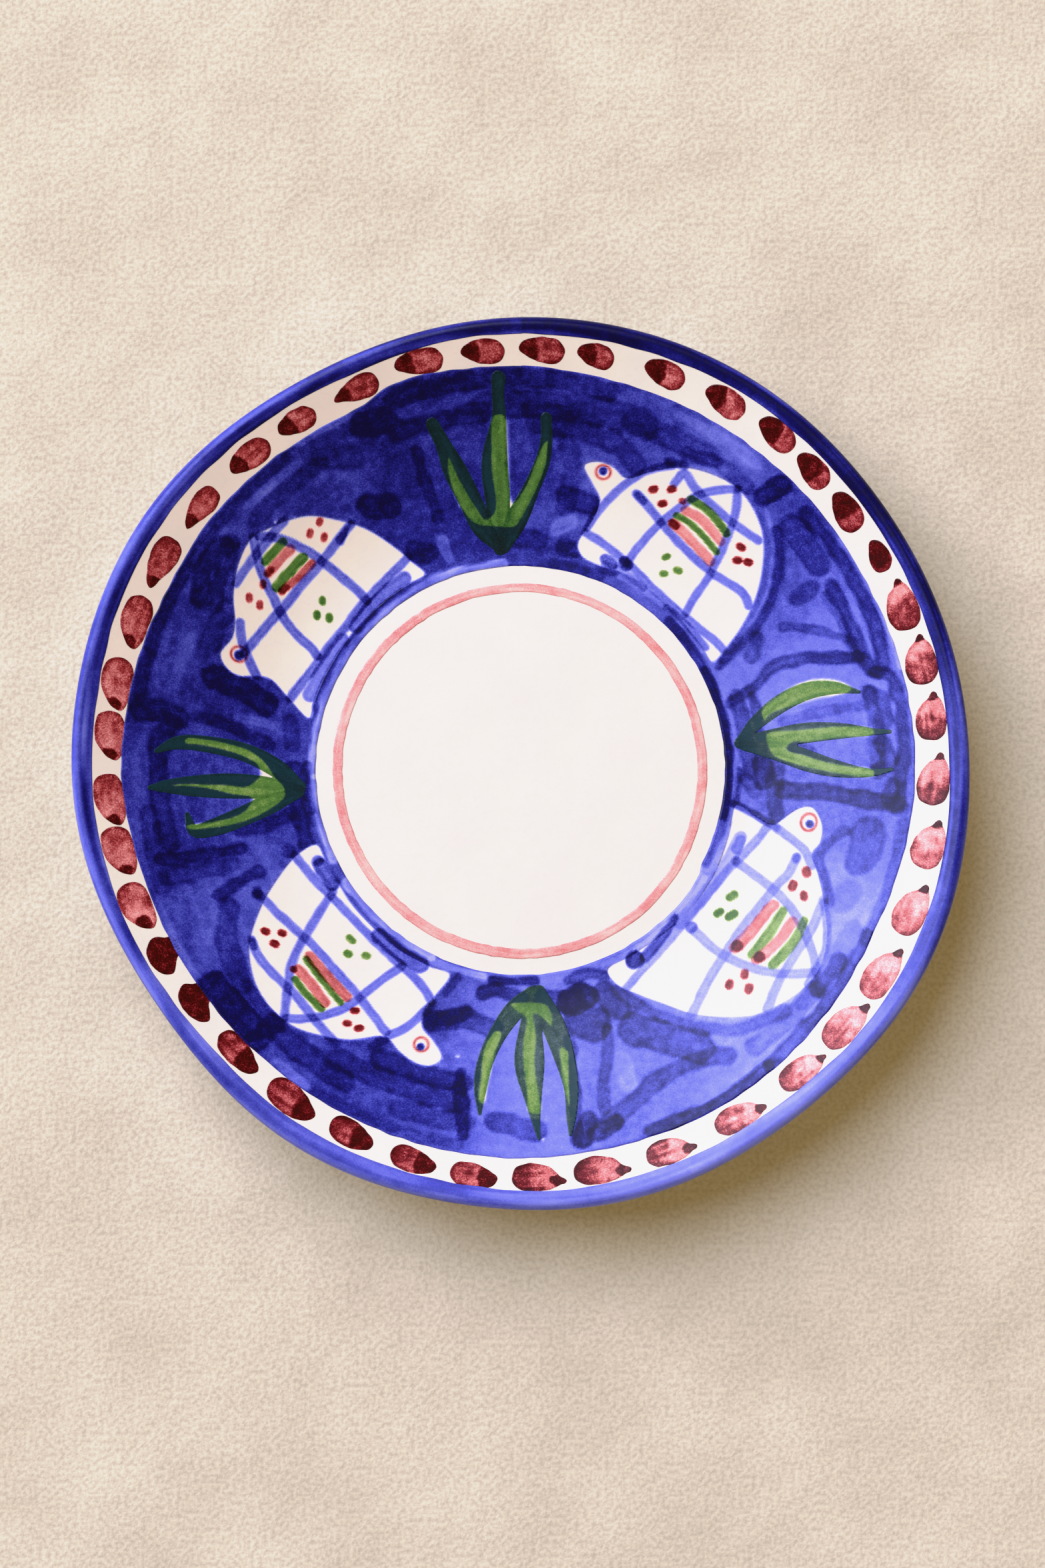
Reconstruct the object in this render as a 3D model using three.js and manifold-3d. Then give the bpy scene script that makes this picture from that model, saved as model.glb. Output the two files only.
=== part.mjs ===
// Hand painted earthenware dinner plate: a thrown clay body on a foot ring, a white glaze coat,
// and the painted films that lie on the glaze. Millimetres, +Z up, origin at the middle of the
// foot on the table. Angles run clockwise from +Y, as seen from above.

import * as THREE from 'three';
import { mergeVertices } from 'three/addons/utils/BufferGeometryUtils.js';
import Module from 'manifold-3d';

const wasm = await Module();
wasm.setup();

// ---- driving dimensions ----

const SEGMENTS = 48;            // steps round the plate
const PLATE_RADIUS = 133.4;     // mean radius over the lip
const LIP_RADIUS = 2.4;         // half the thickness of the rounded lip
const LIP_START = PLATE_RADIUS - 1.42 * LIP_RADIUS;  // where the front of the wall meets the lip
const WELL_RADIUS = 62;         // flat floor of the dish
const WELL_HEIGHT = 10.5;       // top of that floor above the table
const WALL_SLOPE = 0.51;        // rise per millimetre that the wall tends to
const WALL_EASE = 26.6;         // how slowly the wall leaves the floor
const WALL_THICKNESS = 5.3;     // upright thickness next to the lip
const FLOOR_THICKNESS = 6.2;    // upright thickness next to the foot
const FOOT_OUTER = 67;
const FOOT_INNER = 60;
const FOOT_EDGE = 0.8;          // bevel of the foot's rubbed edges
const FOOT_SPLAY = 1;           // how much wider the foot is at its root
const FOOT_HEIGHT = 4.5;        // underside of the floor above the table
const GLAZE_THICKNESS = 0.5;
const GLAZE_STOP = 69.5;        // radius where the outer glaze ends above the foot
const BASE_GLAZE_RADIUS = 56;
const PAINT_THICKNESS = 0.15;
const PAINT_GAP = 0.05;         // clearance under a film that is cut to an outline
const CUT_GAP = 0.3;            // clearance between a panel and the wash around it
const PRISM_HEIGHT = 60;        // more than the height of the plate

// The rim was pulled by hand and wavers: each term is [waves per turn, size, phase in degrees].
const RIM_WAVES = [
  [2, 0.87, 98],
  [3, 0.63, -113],
  [4, 0.87, -68],
  [7, 0.32, -42],
  [8, 0.32, 104],
];

// The painted rings of the well were banded a little off the plate's centre.
const BANDING = { distance: 1.5, towards: 219 };

const WALL_RADII = [WELL_RADIUS + 2, 72, 82, 94, 106];
const BACK_RADII = [116, 98, 84, 75];
const WELL_RING_INNER = 54.2;
const WELL_RING_OUTER = 57;
const WASH_INNER = 61.6;
const WASH_OUTER = 118;
const RIM_BAND_INNER = 127.5;
const RIM_BAND_UNDER = 129.6;   // radius, under the lip, where the blue band ends

const COLOURS = {
  clay: 0xc98f66,
  glaze: 0xf2ece4,
  blue: 0x4a4fb4,
  navy: 0x25206e,
  pink: 0xe79c98,
  panel: 0xf4eee8,
  green: 0x3f7a62,
  maroon: 0x6f1f33,
  rose: 0xc9747c,
};

// ---- the surface of the plate ----

function cosDegrees(angle) {
  return Math.cos(THREE.MathUtils.degToRad(angle));
}

function sinDegrees(angle) {
  return Math.sin(THREE.MathUtils.degToRad(angle));
}

function rimWobble(angle) {
  return RIM_WAVES.reduce((sum, [turns, size, phase]) => sum + size * cosDegrees(turns * angle + phase), 0);
}

// The wobble fades out from the lip to the well.
function wobbleShare(radius) {
  const share = THREE.MathUtils.clamp((radius - WELL_RADIUS) / (LIP_START - WELL_RADIUS), 0, 1);
  return share * share;
}

function wallRun(radius, angle) {
  return Math.max(0, radius - rimWobble(angle) * wobbleShare(radius) - WELL_RADIUS);
}

function frontHeight(radius, angle) {
  const run = wallRun(radius, angle);
  return WELL_HEIGHT + WALL_SLOPE * (run - WALL_EASE * (1 - Math.exp(-run / WALL_EASE)));
}

function frontSlope(radius, angle) {
  return WALL_SLOPE * (1 - Math.exp(-wallRun(radius, angle) / WALL_EASE));
}

function wallThickness(radius) {
  return THREE.MathUtils.mapLinear(radius, LIP_START, FOOT_OUTER, WALL_THICKNESS, FLOOR_THICKNESS);
}

// ---- lines that run once round the plate ----

// A line gives, at each angle, its radius, its height and the way the surface faces there.
// Its order settles which way the facets between two lines are split, so that two solids
// that share two lines share every facet between them.
let linesMade = 0;

function makeLine(place) {
  linesMade += 1;
  return { order: linesMade, place };
}

function frontPlace(radius, angle, banding = 0) {
  const r = radius + wobbleShare(radius) * rimWobble(angle) + banding;
  const slope = frontSlope(r, angle);
  const length = Math.hypot(slope, 1);
  return { r, z: frontHeight(r, angle), out: [-slope / length, 1 / length] };
}

function frontLine(radius) {
  return makeLine((angle) => frontPlace(radius, angle));
}

function bandedLine(radius) {
  return makeLine((angle) => {
    const banding = BANDING.distance * cosDegrees(angle - BANDING.towards);
    return frontPlace(radius, angle, banding);
  });
}

function axisLine(z, up) {
  return makeLine(() => ({ r: 0, z, out: [0, up] }));
}

// The lip is an arc about a centre half a thickness below the front of the wall.
function lipLine(turned) {
  return makeLine((angle) => {
    const edge = frontPlace(LIP_START, angle);
    const facing = Math.atan2(edge.out[1], edge.out[0]) - THREE.MathUtils.degToRad(turned);
    const out = [Math.cos(facing), Math.sin(facing)];
    return {
      r: edge.r + LIP_RADIUS * (out[0] - edge.out[0]),
      z: edge.z + LIP_RADIUS * (out[1] - edge.out[1]),
      out,
    };
  });
}

function backLine(radius) {
  return makeLine((angle) => {
    const r = radius + wobbleShare(radius) * rimWobble(angle);
    const slope = frontSlope(r, angle);
    const length = Math.hypot(slope, 1);
    return { r, z: frontHeight(r, angle) - wallThickness(radius), out: [slope / length, -1 / length] };
  });
}

function footLine(radius, z) {
  return makeLine(() => ({ r: radius, z, out: [0, -1] }));
}

function offsetLine(line, distance) {
  return makeLine((angle) => {
    const { r, z, out } = line.place(angle);
    return { r: Math.max(0, r + out[0] * distance), z: z + out[1] * distance, out };
  });
}

// ---- solids swept through lines ----

function pointOnPlate(radius, angle, z) {
  return [radius * sinDegrees(angle), radius * cosDegrees(angle), z];
}

// Joins lines into a closed solid: the lines run from axis to axis, or the last meets the first.
function sweep(lines) {
  const positions = [];
  const indices = [];
  const onAxis = lines.map((line) => line.place(0).r === 0);
  const firstVertex = lines.map((line, row) => {
    const first = positions.length / 3;
    const steps = onAxis[row] ? 1 : SEGMENTS;
    for (let step = 0; step < steps; step += 1) {
      const angle = (360 * step) / SEGMENTS;
      const { r, z } = line.place(angle);
      positions.push(...pointOnPlate(r, angle, z));
    }
    return first;
  });
  const vertex = (row, step) => firstVertex[row] + (onAxis[row] ? 0 : step % SEGMENTS);
  const addTriangle = (a, b, c) => {
    if (a !== b && b !== c && c !== a) indices.push(a, b, c);
  };
  for (let row = 0; row < lines.length; row += 1) {
    const next = (row + 1) % lines.length;
    if (onAxis[row] && onAxis[next]) continue;
    for (let step = 0; step < SEGMENTS; step += 1) {
      const a = vertex(row, step);
      const b = vertex(next, step);
      const c = vertex(next, step + 1);
      const d = vertex(row, step + 1);
      if (lines[row].order < lines[next].order) {
        addTriangle(a, b, c);
        addTriangle(a, c, d);
      } else {
        addTriangle(a, b, d);
        addTriangle(b, c, d);
      }
    }
  }
  const geometry = new THREE.BufferGeometry();
  geometry.setAttribute('position', new THREE.Float32BufferAttribute(positions, 3));
  geometry.setIndex(indices);
  return faceOut(geometry);
}

function enclosedVolume(geometry) {
  const position = geometry.getAttribute('position');
  const index = geometry.getIndex();
  const corners = [new THREE.Vector3(), new THREE.Vector3(), new THREE.Vector3()];
  let sum = 0;
  for (let i = 0; i < index.count; i += 3) {
    corners.forEach((corner, k) => corner.fromBufferAttribute(position, index.getX(i + k)));
    sum += corners[0].dot(corners[1].clone().cross(corners[2])) / 6;
  }
  return sum;
}

function faceOut(geometry) {
  if (enclosedVolume(geometry) < 0) {
    const flipped = Array.from(geometry.getIndex().array);
    for (let i = 0; i < flipped.length; i += 3) {
      [flipped[i + 1], flipped[i + 2]] = [flipped[i + 2], flipped[i + 1]];
    }
    geometry.setIndex(flipped);
  }
  return geometry;
}

// ---- cutting films to an outline ----

function toSolid(geometry) {
  const bare = geometry.clone();
  bare.deleteAttribute('normal');
  bare.deleteAttribute('uv');
  const merged = mergeVertices(bare, 1e-4);
  return new wasm.Manifold(new wasm.Mesh({
    numProp: 3,
    vertProperties: new Float32Array(merged.getAttribute('position').array),
    triVerts: new Uint32Array(merged.getIndex().array),
  }));
}

function toGeometry(solid) {
  const mesh = solid.getMesh();
  const geometry = new THREE.BufferGeometry();
  geometry.setAttribute('position', new THREE.Float32BufferAttribute(mesh.vertProperties, 3));
  geometry.setIndex(Array.from(mesh.triVerts));
  return geometry;
}

// An upright prism, taller than the plate, over an outline of plan points.
function prism(outline) {
  const shape = new THREE.Shape(outline);
  return toSolid(new THREE.ExtrudeGeometry(shape, { depth: PRISM_HEIGHT, bevelEnabled: false }));
}

// A film over part of the front, a little clear of what is beneath it.
function film(lines, clearance) {
  const under = lines.map((line) => offsetLine(line, clearance));
  const over = lines.map((line) => offsetLine(line, clearance + PAINT_THICKNESS));
  return toSolid(sweep([...under, ...over.reverse()]));
}

// Outlines run anticlockwise in plan, and grow to their right.
function growOutline(outline, distance) {
  return outline.map((point, i) => {
    const before = outline.at(i - 1);
    const after = outline[(i + 1) % outline.length];
    const along = after.clone().sub(before).normalize();
    return new THREE.Vector2(point.x + along.y * distance, point.y - along.x * distance);
  });
}

function planPoint([angle, radius]) {
  const [x, y] = pointOnPlate(radius, angle, 0);
  return new THREE.Vector2(x, y);
}

// The outline of one stroke of a brush: up one side of its points and back down the other.
function strokeOutline(points) {
  const middles = points.map((point) => planPoint(point));
  const sides = middles.map((middle, i) => {
    const before = middles[Math.max(i - 1, 0)];
    const after = middles[Math.min(i + 1, middles.length - 1)];
    const along = after.clone().sub(before).normalize();
    return new THREE.Vector2(along.y, -along.x).multiplyScalar(points[i][2] / 2);
  });
  const right = middles.map((middle, i) => middle.clone().add(sides[i]));
  const left = middles.map((middle, i) => middle.clone().sub(sides[i]));
  return [...right, ...left.reverse()];
}

// A smooth closed outline through a few points, each given as [angle, radius] on the plate.
function smoothOutline(polarPoints, steps) {
  const points = polarPoints.map((point) => planPoint(point)).map(({ x, y }) => new THREE.Vector3(x, y, 0));
  const curve = new THREE.CatmullRomCurve3(points, true, 'centripetal');
  return curve.getPoints(steps).slice(0, steps).map(({ x, y }) => new THREE.Vector2(x, y));
}

// ---- the four tortoise panels ----

// Each tortoise walks anticlockwise round the well. Its outline starts at the tail, runs over the
// shell to the neck and head, and back along the feet. Points are [angle, radius].
const TORTOISES = {
  north_east: [
    [61.2, 65.5], [59.6, 72], [57.4, 79], [54.2, 87], [50.3, 94.3], [46.3, 100.2], [42.4, 103.5],
    [38, 105.3], [33, 104.3], [28.3, 101.8], [23.8, 97], [19.8, 92.4], [17, 94.2], [14, 94.7],
    [11.5, 92.6], [13.7, 88], [16, 84], [15.8, 78], [13.7, 69.5], [15.5, 66.3], [19.5, 65.2],
    [30, 66.2], [45, 65.4], [56, 65.2],
  ],
  south_east: [
    [157.7, 66.8], [157, 72], [153.6, 77.3], [149.6, 83.8], [145.5, 91.6], [138.5, 101.6],
    [134.6, 104.8], [130, 107.4], [125, 108], [120, 105], [115, 99.5], [110.5, 94.5], [107.3, 91],
    [105, 92.4], [101.5, 91.8], [98.5, 88], [98.9, 84.5], [101.5, 80.3], [103.5, 77.5],
    [102.5, 72], [100.4, 65.6], [108.5, 65.6], [120, 66.5], [135, 66.5], [150, 66],
  ],
  south_west: [
    [249, 66.8], [248.5, 73], [244.5, 83], [241, 90.5], [237, 97.7], [234, 101.2], [230, 104.2],
    [226, 105.4], [221, 104.8], [217, 102.2], [212, 98], [206.7, 92], [203.5, 94], [200, 95.6],
    [197, 95], [195.4, 91.7], [197.8, 87.5], [200.8, 84.7], [202, 80], [200.8, 74.5],
    [199.3, 66.8], [205, 66.9], [215, 67], [230, 66.5], [243, 66.2],
  ],
  north_west: [
    [333, 65.6], [331.5, 70.8], [330, 76], [326.9, 85], [324.5, 90], [319.6, 98.7], [316.5, 101.8],
    [313, 104.3], [309.7, 106.3], [305, 104.8], [300, 101], [296, 96.8], [293.5, 95.8],
    [290, 97.2], [288, 94.3], [287.2, 90], [288.3, 85.3], [288.8, 81], [286.3, 74.5],
    [282.5, 66.3], [288, 66.5], [300, 66], [315, 65.6], [326, 65.6],
  ],
};
const PANEL_STEPS = 44;

// ---- the four grass tufts ----

// Three curved blades rise from one foot, each one stroke of the brush. A blade runs from foot to
// tip through points of [angle, radius, width in millimetres].
const TUFTS = {
  north: [
    [[353.6, 67, 3], [350.5, 73.5, 6.5], [348.7, 82, 7], [346.9, 92, 7], [345.9, 100, 4.6], [345, 106, 4]],
    [[354, 66.5, 4], [354.5, 80, 7.4], [354.6, 92, 8], [356, 105, 4.4], [356.1, 112, 3.8], [356.3, 116, 4.4]],
    [
      [355, 67, 4], [358.5, 75, 6.5], [361.6, 84, 5.2], [363.6, 92, 4.6], [364.1, 99, 3.6],
      [363.8, 104.7, 3.4],
    ],
  ],
  east: [
    [[83.3, 66.5, 3], [80, 71, 4.2], [76.8, 79, 5.5], [75.5, 88, 5.4], [76.2, 96, 4], [78.1, 103.3, 1]],
    [[84, 66, 3.5], [83.8, 76, 5.6], [83.6, 86, 6.2], [84.2, 97, 4.6], [85, 105.5, 2.2], [85.3, 110.3, 1.2]],
    [[84.8, 67, 3], [87, 78, 6.2], [89.3, 86, 6.4], [90.9, 94, 5.2], [91.7, 104, 2.6], [91.2, 110.5, 1.2]],
  ],
  south: [
    [[176, 68.5, 4], [173.6, 78, 7], [172.2, 87, 6.6], [171.6, 98, 4.5], [172.3, 107, 3], [172.8, 112.3, 1]],
    [[177, 68.5, 4], [178.4, 80, 7], [178.8, 90, 9], [178.3, 101, 5], [178, 107, 2.8], [177.6, 112.7, 1]],
    [[177.8, 69, 4.5], [181.7, 73.5, 6], [185.2, 81, 5.4], [187.2, 90, 4.8], [187.5, 98, 4], [187, 106, 1]],
  ],
  west: [
    [[263.2, 68, 3], [261.3, 77, 6], [259.5, 86, 6], [258.3, 95, 5.3], [258.4, 101, 3.6], [261.2, 102, 1.5]],
    [[263.8, 68.5, 4], [265.2, 80, 7], [265.8, 90, 7.6], [266, 100, 6.2], [266.1, 107, 4], [266, 112, 1.5]],
    [[264.6, 68, 4], [269, 74, 5.6], [272.3, 83, 5.6], [273.5, 95, 5], [273.3, 104, 4], [271.7, 110, 1.5]],
  ],
};

// ---- the brush dabs of the border ----

// One dab per press of a loaded brush, each [first angle, last angle, inner radius, outer radius].
const DABS = [
  [-0.6, 5.8, 120.2, 127.6], [7.5, 12.7, 120.4, 127.5], [17, 23, 120.3, 127.8],
  [26.2, 32.4, 120, 127.9], [34.7, 40.8, 120.4, 128], [42, 47.8, 119.2, 126.8],
  [49.3, 55.4, 118.4, 126.4], [57.7, 62.4, 119.8, 126], [64, 71.3, 118.1, 126.9],
  [72.3, 79.3, 118.1, 126.9], [80.5, 87.2, 118.1, 126.8], [89, 96.3, 118.1, 127.2],
  [98.3, 105.2, 118.5, 128.1], [107.3, 114.8, 119, 128.5], [116.6, 124.7, 119.4, 128.5],
  [125.3, 133.4, 119.3, 128.4], [134.3, 141.8, 120, 127.8], [144.9, 152.5, 119.9, 127.7],
  [155.8, 162.8, 120.1, 127.8], [165.2, 173, 119.6, 128], [174.1, 181.5, 119.8, 128.1],
  [183.5, 190, 120.6, 128.2], [192, 198.6, 119.6, 127], [201.2, 207.9, 118.2, 126.4],
  [210.2, 218, 118.1, 126.8], [220.3, 227.8, 118.1, 125.3], [230.2, 236.4, 118.1, 124.9],
  [238.5, 244.2, 118.1, 125.9], [245.5, 252.6, 118.4, 127.7], [253.7, 260.7, 118.8, 128.1],
  [260.8, 268.1, 119.3, 128.4], [270, 276.8, 119.3, 128.2], [277, 284.3, 119.2, 128.3],
  [286, 293.4, 119.2, 127.8], [294.8, 302.5, 119.7, 127.8], [304.6, 311.5, 119.6, 126.6],
  [314.7, 321.4, 119.1, 126.6], [323.3, 329.2, 119, 126], [332.3, 339.2, 119, 126.1],
  [341.9, 348.8, 120.3, 127.7], [351.3, 357.4, 120.2, 127.4],
];
const DAB_STEPS = 12;

// Dabs between these angles were painted with a thin brush, and are rose. The rest are maroon.
const ROSE_FROM = 63;
const ROSE_TO = 183;

// A dab is a blunt leaf: its tip points anticlockwise and its broad end is clockwise.
function dabOutline([first, last, inner, outer]) {
  const along = (share) => THREE.MathUtils.lerp(first, last, share);
  const across = (share) => THREE.MathUtils.lerp(inner, outer, share);
  return smoothOutline([
    [along(0), across(0.55)],
    [along(0.25), across(0.16)],
    [along(0.62), across(0)],
    [along(0.93), across(0.2)],
    [along(1), across(0.55)],
    [along(0.88), across(0.9)],
    [along(0.5), across(1)],
    [along(0.2), across(0.88)],
  ], DAB_STEPS);
}

function dabColour([first]) {
  return first > ROSE_FROM && first < ROSE_TO ? COLOURS.rose : COLOURS.maroon;
}

// ---- lines shared by the solids ----

const wellCentre = axisLine(WELL_HEIGHT, 1);
const ringInner = bandedLine(WELL_RING_INNER);
const ringOuter = bandedLine(WELL_RING_OUTER);
const wallLines = [...WALL_RADII, WASH_OUTER].map((radius) => frontLine(radius));
const bandInner = frontLine(RIM_BAND_INNER);
const bandOver = [bandInner, frontLine(LIP_START), lipLine(45), lipLine(90), lipLine(135), lipLine(180)];
const bandUnder = backLine(RIM_BAND_UNDER);
const backLines = [...BACK_RADII, GLAZE_STOP].map((radius) => backLine(radius));
const glazeOutside = [wellCentre, ringInner, ringOuter, ...wallLines, ...bandOver, bandUnder, ...backLines];
const glazeInside = glazeOutside.map((line) => offsetLine(line, -GLAZE_THICKNESS));

const footLines = [
  footLine(FOOT_OUTER + FOOT_SPLAY, FOOT_HEIGHT - FOOT_SPLAY),
  footLine(FOOT_OUTER, FOOT_EDGE),
  footLine(FOOT_OUTER - FOOT_EDGE, 0),
  footLine(FOOT_INNER + FOOT_EDGE, 0),
  footLine(FOOT_INNER, FOOT_EDGE),
  footLine(FOOT_INNER - FOOT_SPLAY, FOOT_HEIGHT),
];
const baseEdge = footLine(BASE_GLAZE_RADIUS, FOOT_HEIGHT);
const baseCentre = axisLine(FOOT_HEIGHT, -1);

// ---- the object ----

const plate = new THREE.Group();

function addPiece(name, geometry, color, roughness) {
  const material = new THREE.MeshStandardMaterial({ color, roughness, metalness: 0 });
  const mesh = new THREE.Mesh(geometry, material);
  mesh.name = name;
  plate.add(mesh);
}

function filmOver(lines) {
  return sweep([...lines, ...lines.map((line) => offsetLine(line, PAINT_THICKNESS)).reverse()]);
}

// The thrown clay, turned to a foot ring below.
addPiece('clay_body', sweep([...glazeInside, ...footLines, baseEdge, baseCentre]), COLOURS.clay, 0.9);

// White glaze from the well over the lip to just above the foot, and in the foot's recess.
addPiece('glaze_coat', sweep([...glazeOutside, ...glazeInside.toReversed()]), COLOURS.glaze, 0.25);
addPiece('base_glaze', sweep([
  baseCentre, baseEdge, offsetLine(baseEdge, GLAZE_THICKNESS), axisLine(FOOT_HEIGHT - GLAZE_THICKNESS, -1),
]), COLOURS.glaze, 0.3);

// Banded lines, painted on the turning plate.
addPiece('rim_band', filmOver([...bandOver, bandUnder]), COLOURS.navy, 0.3);
addPiece('well_ring', filmOver([ringInner, ringOuter]), COLOURS.pink, 0.3);

// The blue wash, with the four tortoises held back in white.
const washFilm = film([bandedLine(WASH_INNER), ...wallLines], PAINT_GAP);
const panelOutlines = Object.entries(TORTOISES)
  .map(([place, points]) => [place, smoothOutline(points, PANEL_STEPS)]);
const washCut = panelOutlines.reduce(
  (wash, [, outline]) => wash.subtract(prism(growOutline(outline, CUT_GAP))),
  washFilm,
);
addPiece('wash_field', toGeometry(washCut), COLOURS.blue, 0.3);

panelOutlines.forEach(([place, outline]) => {
  addPiece(`tortoise_${place}`, toGeometry(washFilm.intersect(prism(outline))), COLOURS.panel, 0.3);
});

// Grass blades, painted over the wash.
const overWash = film(wallLines, 2 * PAINT_GAP + PAINT_THICKNESS);
Object.entries(TUFTS).forEach(([place, blades]) => {
  const [first, second, third] = blades.map((blade) => prism(strokeOutline(blade)));
  const tuft = overWash.intersect(first.add(second).add(third));
  addPiece(`grass_${place}`, toGeometry(tuft), COLOURS.green, 0.3);
});

// The border's dabs, numbered clockwise.
const borderFilm = film([wallLines.at(-1), bandInner], PAINT_GAP);
DABS.forEach((dab, i) => {
  const name = `dab_${String(i + 1).padStart(2, '0')}`;
  addPiece(name, toGeometry(borderFilm.intersect(prism(dabOutline(dab)))), dabColour(dab), 0.3);
});

export default plate;
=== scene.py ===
"""Looks of the hand painted earthenware plate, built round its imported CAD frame.

Sizes are in millimetres and angles in degrees, clockwise from +Y as seen from above, until a mesh
is made: meshes are in metres. Every piece lies on one surface, and one set of paint functions
colours every piece, so paint runs on unbroken from one piece to the next.
"""

import math

import bpy
import numpy as np
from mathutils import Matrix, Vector


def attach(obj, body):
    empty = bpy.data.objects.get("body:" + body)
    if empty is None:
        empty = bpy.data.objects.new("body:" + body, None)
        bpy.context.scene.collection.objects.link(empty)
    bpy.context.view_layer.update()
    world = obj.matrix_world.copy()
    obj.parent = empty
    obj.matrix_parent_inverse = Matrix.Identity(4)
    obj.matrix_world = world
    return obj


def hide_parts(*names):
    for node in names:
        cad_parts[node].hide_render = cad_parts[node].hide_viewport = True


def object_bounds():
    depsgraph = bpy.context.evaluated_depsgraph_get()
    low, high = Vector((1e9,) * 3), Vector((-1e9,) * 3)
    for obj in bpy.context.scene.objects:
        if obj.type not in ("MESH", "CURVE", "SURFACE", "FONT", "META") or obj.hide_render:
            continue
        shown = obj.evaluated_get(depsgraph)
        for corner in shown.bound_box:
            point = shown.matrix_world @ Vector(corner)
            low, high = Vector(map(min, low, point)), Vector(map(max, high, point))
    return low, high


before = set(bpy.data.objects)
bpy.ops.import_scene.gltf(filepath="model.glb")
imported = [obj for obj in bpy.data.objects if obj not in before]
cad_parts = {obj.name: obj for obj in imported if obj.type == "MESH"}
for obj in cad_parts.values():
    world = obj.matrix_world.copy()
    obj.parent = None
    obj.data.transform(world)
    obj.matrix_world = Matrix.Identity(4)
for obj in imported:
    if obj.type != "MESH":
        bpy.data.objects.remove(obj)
CAD_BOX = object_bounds()

# ---- driving dimensions, the same as the CAD's ----

PLATE_RADIUS = 133.4
LIP_RADIUS = 2.4
LIP_START = PLATE_RADIUS - 1.42 * LIP_RADIUS
WELL_RADIUS = 62
WELL_HEIGHT = 10.5
WALL_SLOPE = 0.51
WALL_EASE = 26.6
WALL_THICKNESS = 5.3
FLOOR_THICKNESS = 6.2
FOOT_OUTER = 67
FOOT_INNER = 60
FOOT_SPLAY = 1
FOOT_HEIGHT = 4.5
GLAZE_THICKNESS = 0.5
GLAZE_STOP = 69.5
BASE_GLAZE_RADIUS = 56
BAND_TURN = 150         # degrees that the blue band runs on round the lip
RIM_WAVES = [(2, 0.87, 98), (3, 0.63, -113), (4, 0.87, -68), (7, 0.32, -42), (8, 0.32, 104)]

MM = 0.001              # meshes are in metres

DIP_DEPTH = 0.16        # soft dips in the front, left by the hand
THROWING_RING_DEPTH = 0.025
THROWING_RING_PITCH = 5.2
TURNING_MARK_DEPTH = 0.07   # fine grooves on the outside, left by the turning tool
TURNING_MARK_PITCH = 0.85

FILM_DEPTH = 0.1        # how far a paint film is sunk into the glaze
PANEL_RISE = 0.02       # tops of the films above the glaze
RING_RISE = 0.03
WASH_RISE = 0.04
DAB_RISE = 0.04
BAND_RISE = 0.05
GRASS_RISE = 0.07
PANEL_TUCK = 0.8        # how far a tortoise panel runs in under the wash
PATCH_STEP = 0.42       # spacing of the vertices of the small films


# ---- small tools ----

def smooth_step(low, high, value):
    """0 at low, 1 at high and smooth between. Where low is above high, it falls instead."""
    share = np.clip((value - low) / (high - low), 0, 1)
    return share * share * (3 - 2 * share)


def value_noise(x, y, size, seed):
    """Smooth noise from 0 to 1 with bumps about size across."""
    column, row = np.floor(x / size), np.floor(y / size)
    across, up = smooth_step(0, 1, x / size - column), smooth_step(0, 1, y / size - row)

    def corner(right, above):
        key = (column + right).astype(np.int64) * 73856093
        key ^= (row + above).astype(np.int64) * 19349663
        key ^= seed * 83492791
        key = ((key ^ (key >> 11)) & 0xFFFFFFF) * 1274126177
        return ((key >> 15) & 0xFFFF) / 65535

    low = corner(0, 0) * (1 - across) + corner(1, 0) * across
    high = corner(0, 1) * (1 - across) + corner(1, 1) * across
    return low * (1 - up) + high * up


def layered_noise(x, y, size, seed):
    """Smooth noise from 0 to 1 with coarse, middling and fine bumps."""
    return (
        0.55 * value_noise(x, y, size, seed)
        + 0.3 * value_noise(x + 31.7, y - 11.3, size / 2.1, seed + 1)
        + 0.15 * value_noise(x - 17.1, y + 23.9, size / 4.3, seed + 2)
    )


def plan(angle, radius):
    """x and y of a place given by its angle and radius."""
    turn = np.radians(angle)
    return radius * np.sin(turn), radius * np.cos(turn)


def smooth_path(points, closed=False, steps=8):
    """A centripetal Catmull-Rom curve through points, as an array of points."""
    points = np.array(points, float)
    if closed:
        padded = np.vstack([points[-1], points, points[0], points[1]])
    else:
        padded = np.vstack([2 * points[0] - points[1], points, 2 * points[-1] - points[-2]])
    share = (np.arange(steps) / steps)[:, None]
    pieces = []
    for a, b, c, d in zip(padded, padded[1:], padded[2:], padded[3:]):
        before = max(math.dist(a[:2], b[:2]), 1e-6) ** 0.5
        here = max(math.dist(b[:2], c[:2]), 1e-6) ** 0.5
        after = max(math.dist(c[:2], d[:2]), 1e-6) ** 0.5
        start = here * ((b - a) / before - (c - a) / (before + here)) + (c - b)
        end = here * ((d - c) / after - (d - b) / (here + after)) + (c - b)
        rise = share**2 * (3 - 2 * share)
        pieces.append(
            b * (1 - rise) + c * rise
            + start * share * (1 - share) ** 2
            - end * share**2 * (1 - share)
        )
    if not closed:
        pieces.append(points[-1:])
    return np.vstack(pieces)


# ---- the surface of the plate ----

def rim_wobble(angle):
    """How far the lip stands out of true."""
    return sum(size * np.cos(np.radians(turns * angle + phase)) for turns, size, phase in RIM_WAVES)


def wobble_share(radius):
    """The wobble fades out from the lip to the well."""
    return np.clip((radius - WELL_RADIUS) / (LIP_START - WELL_RADIUS), 0, 1) ** 2


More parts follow.
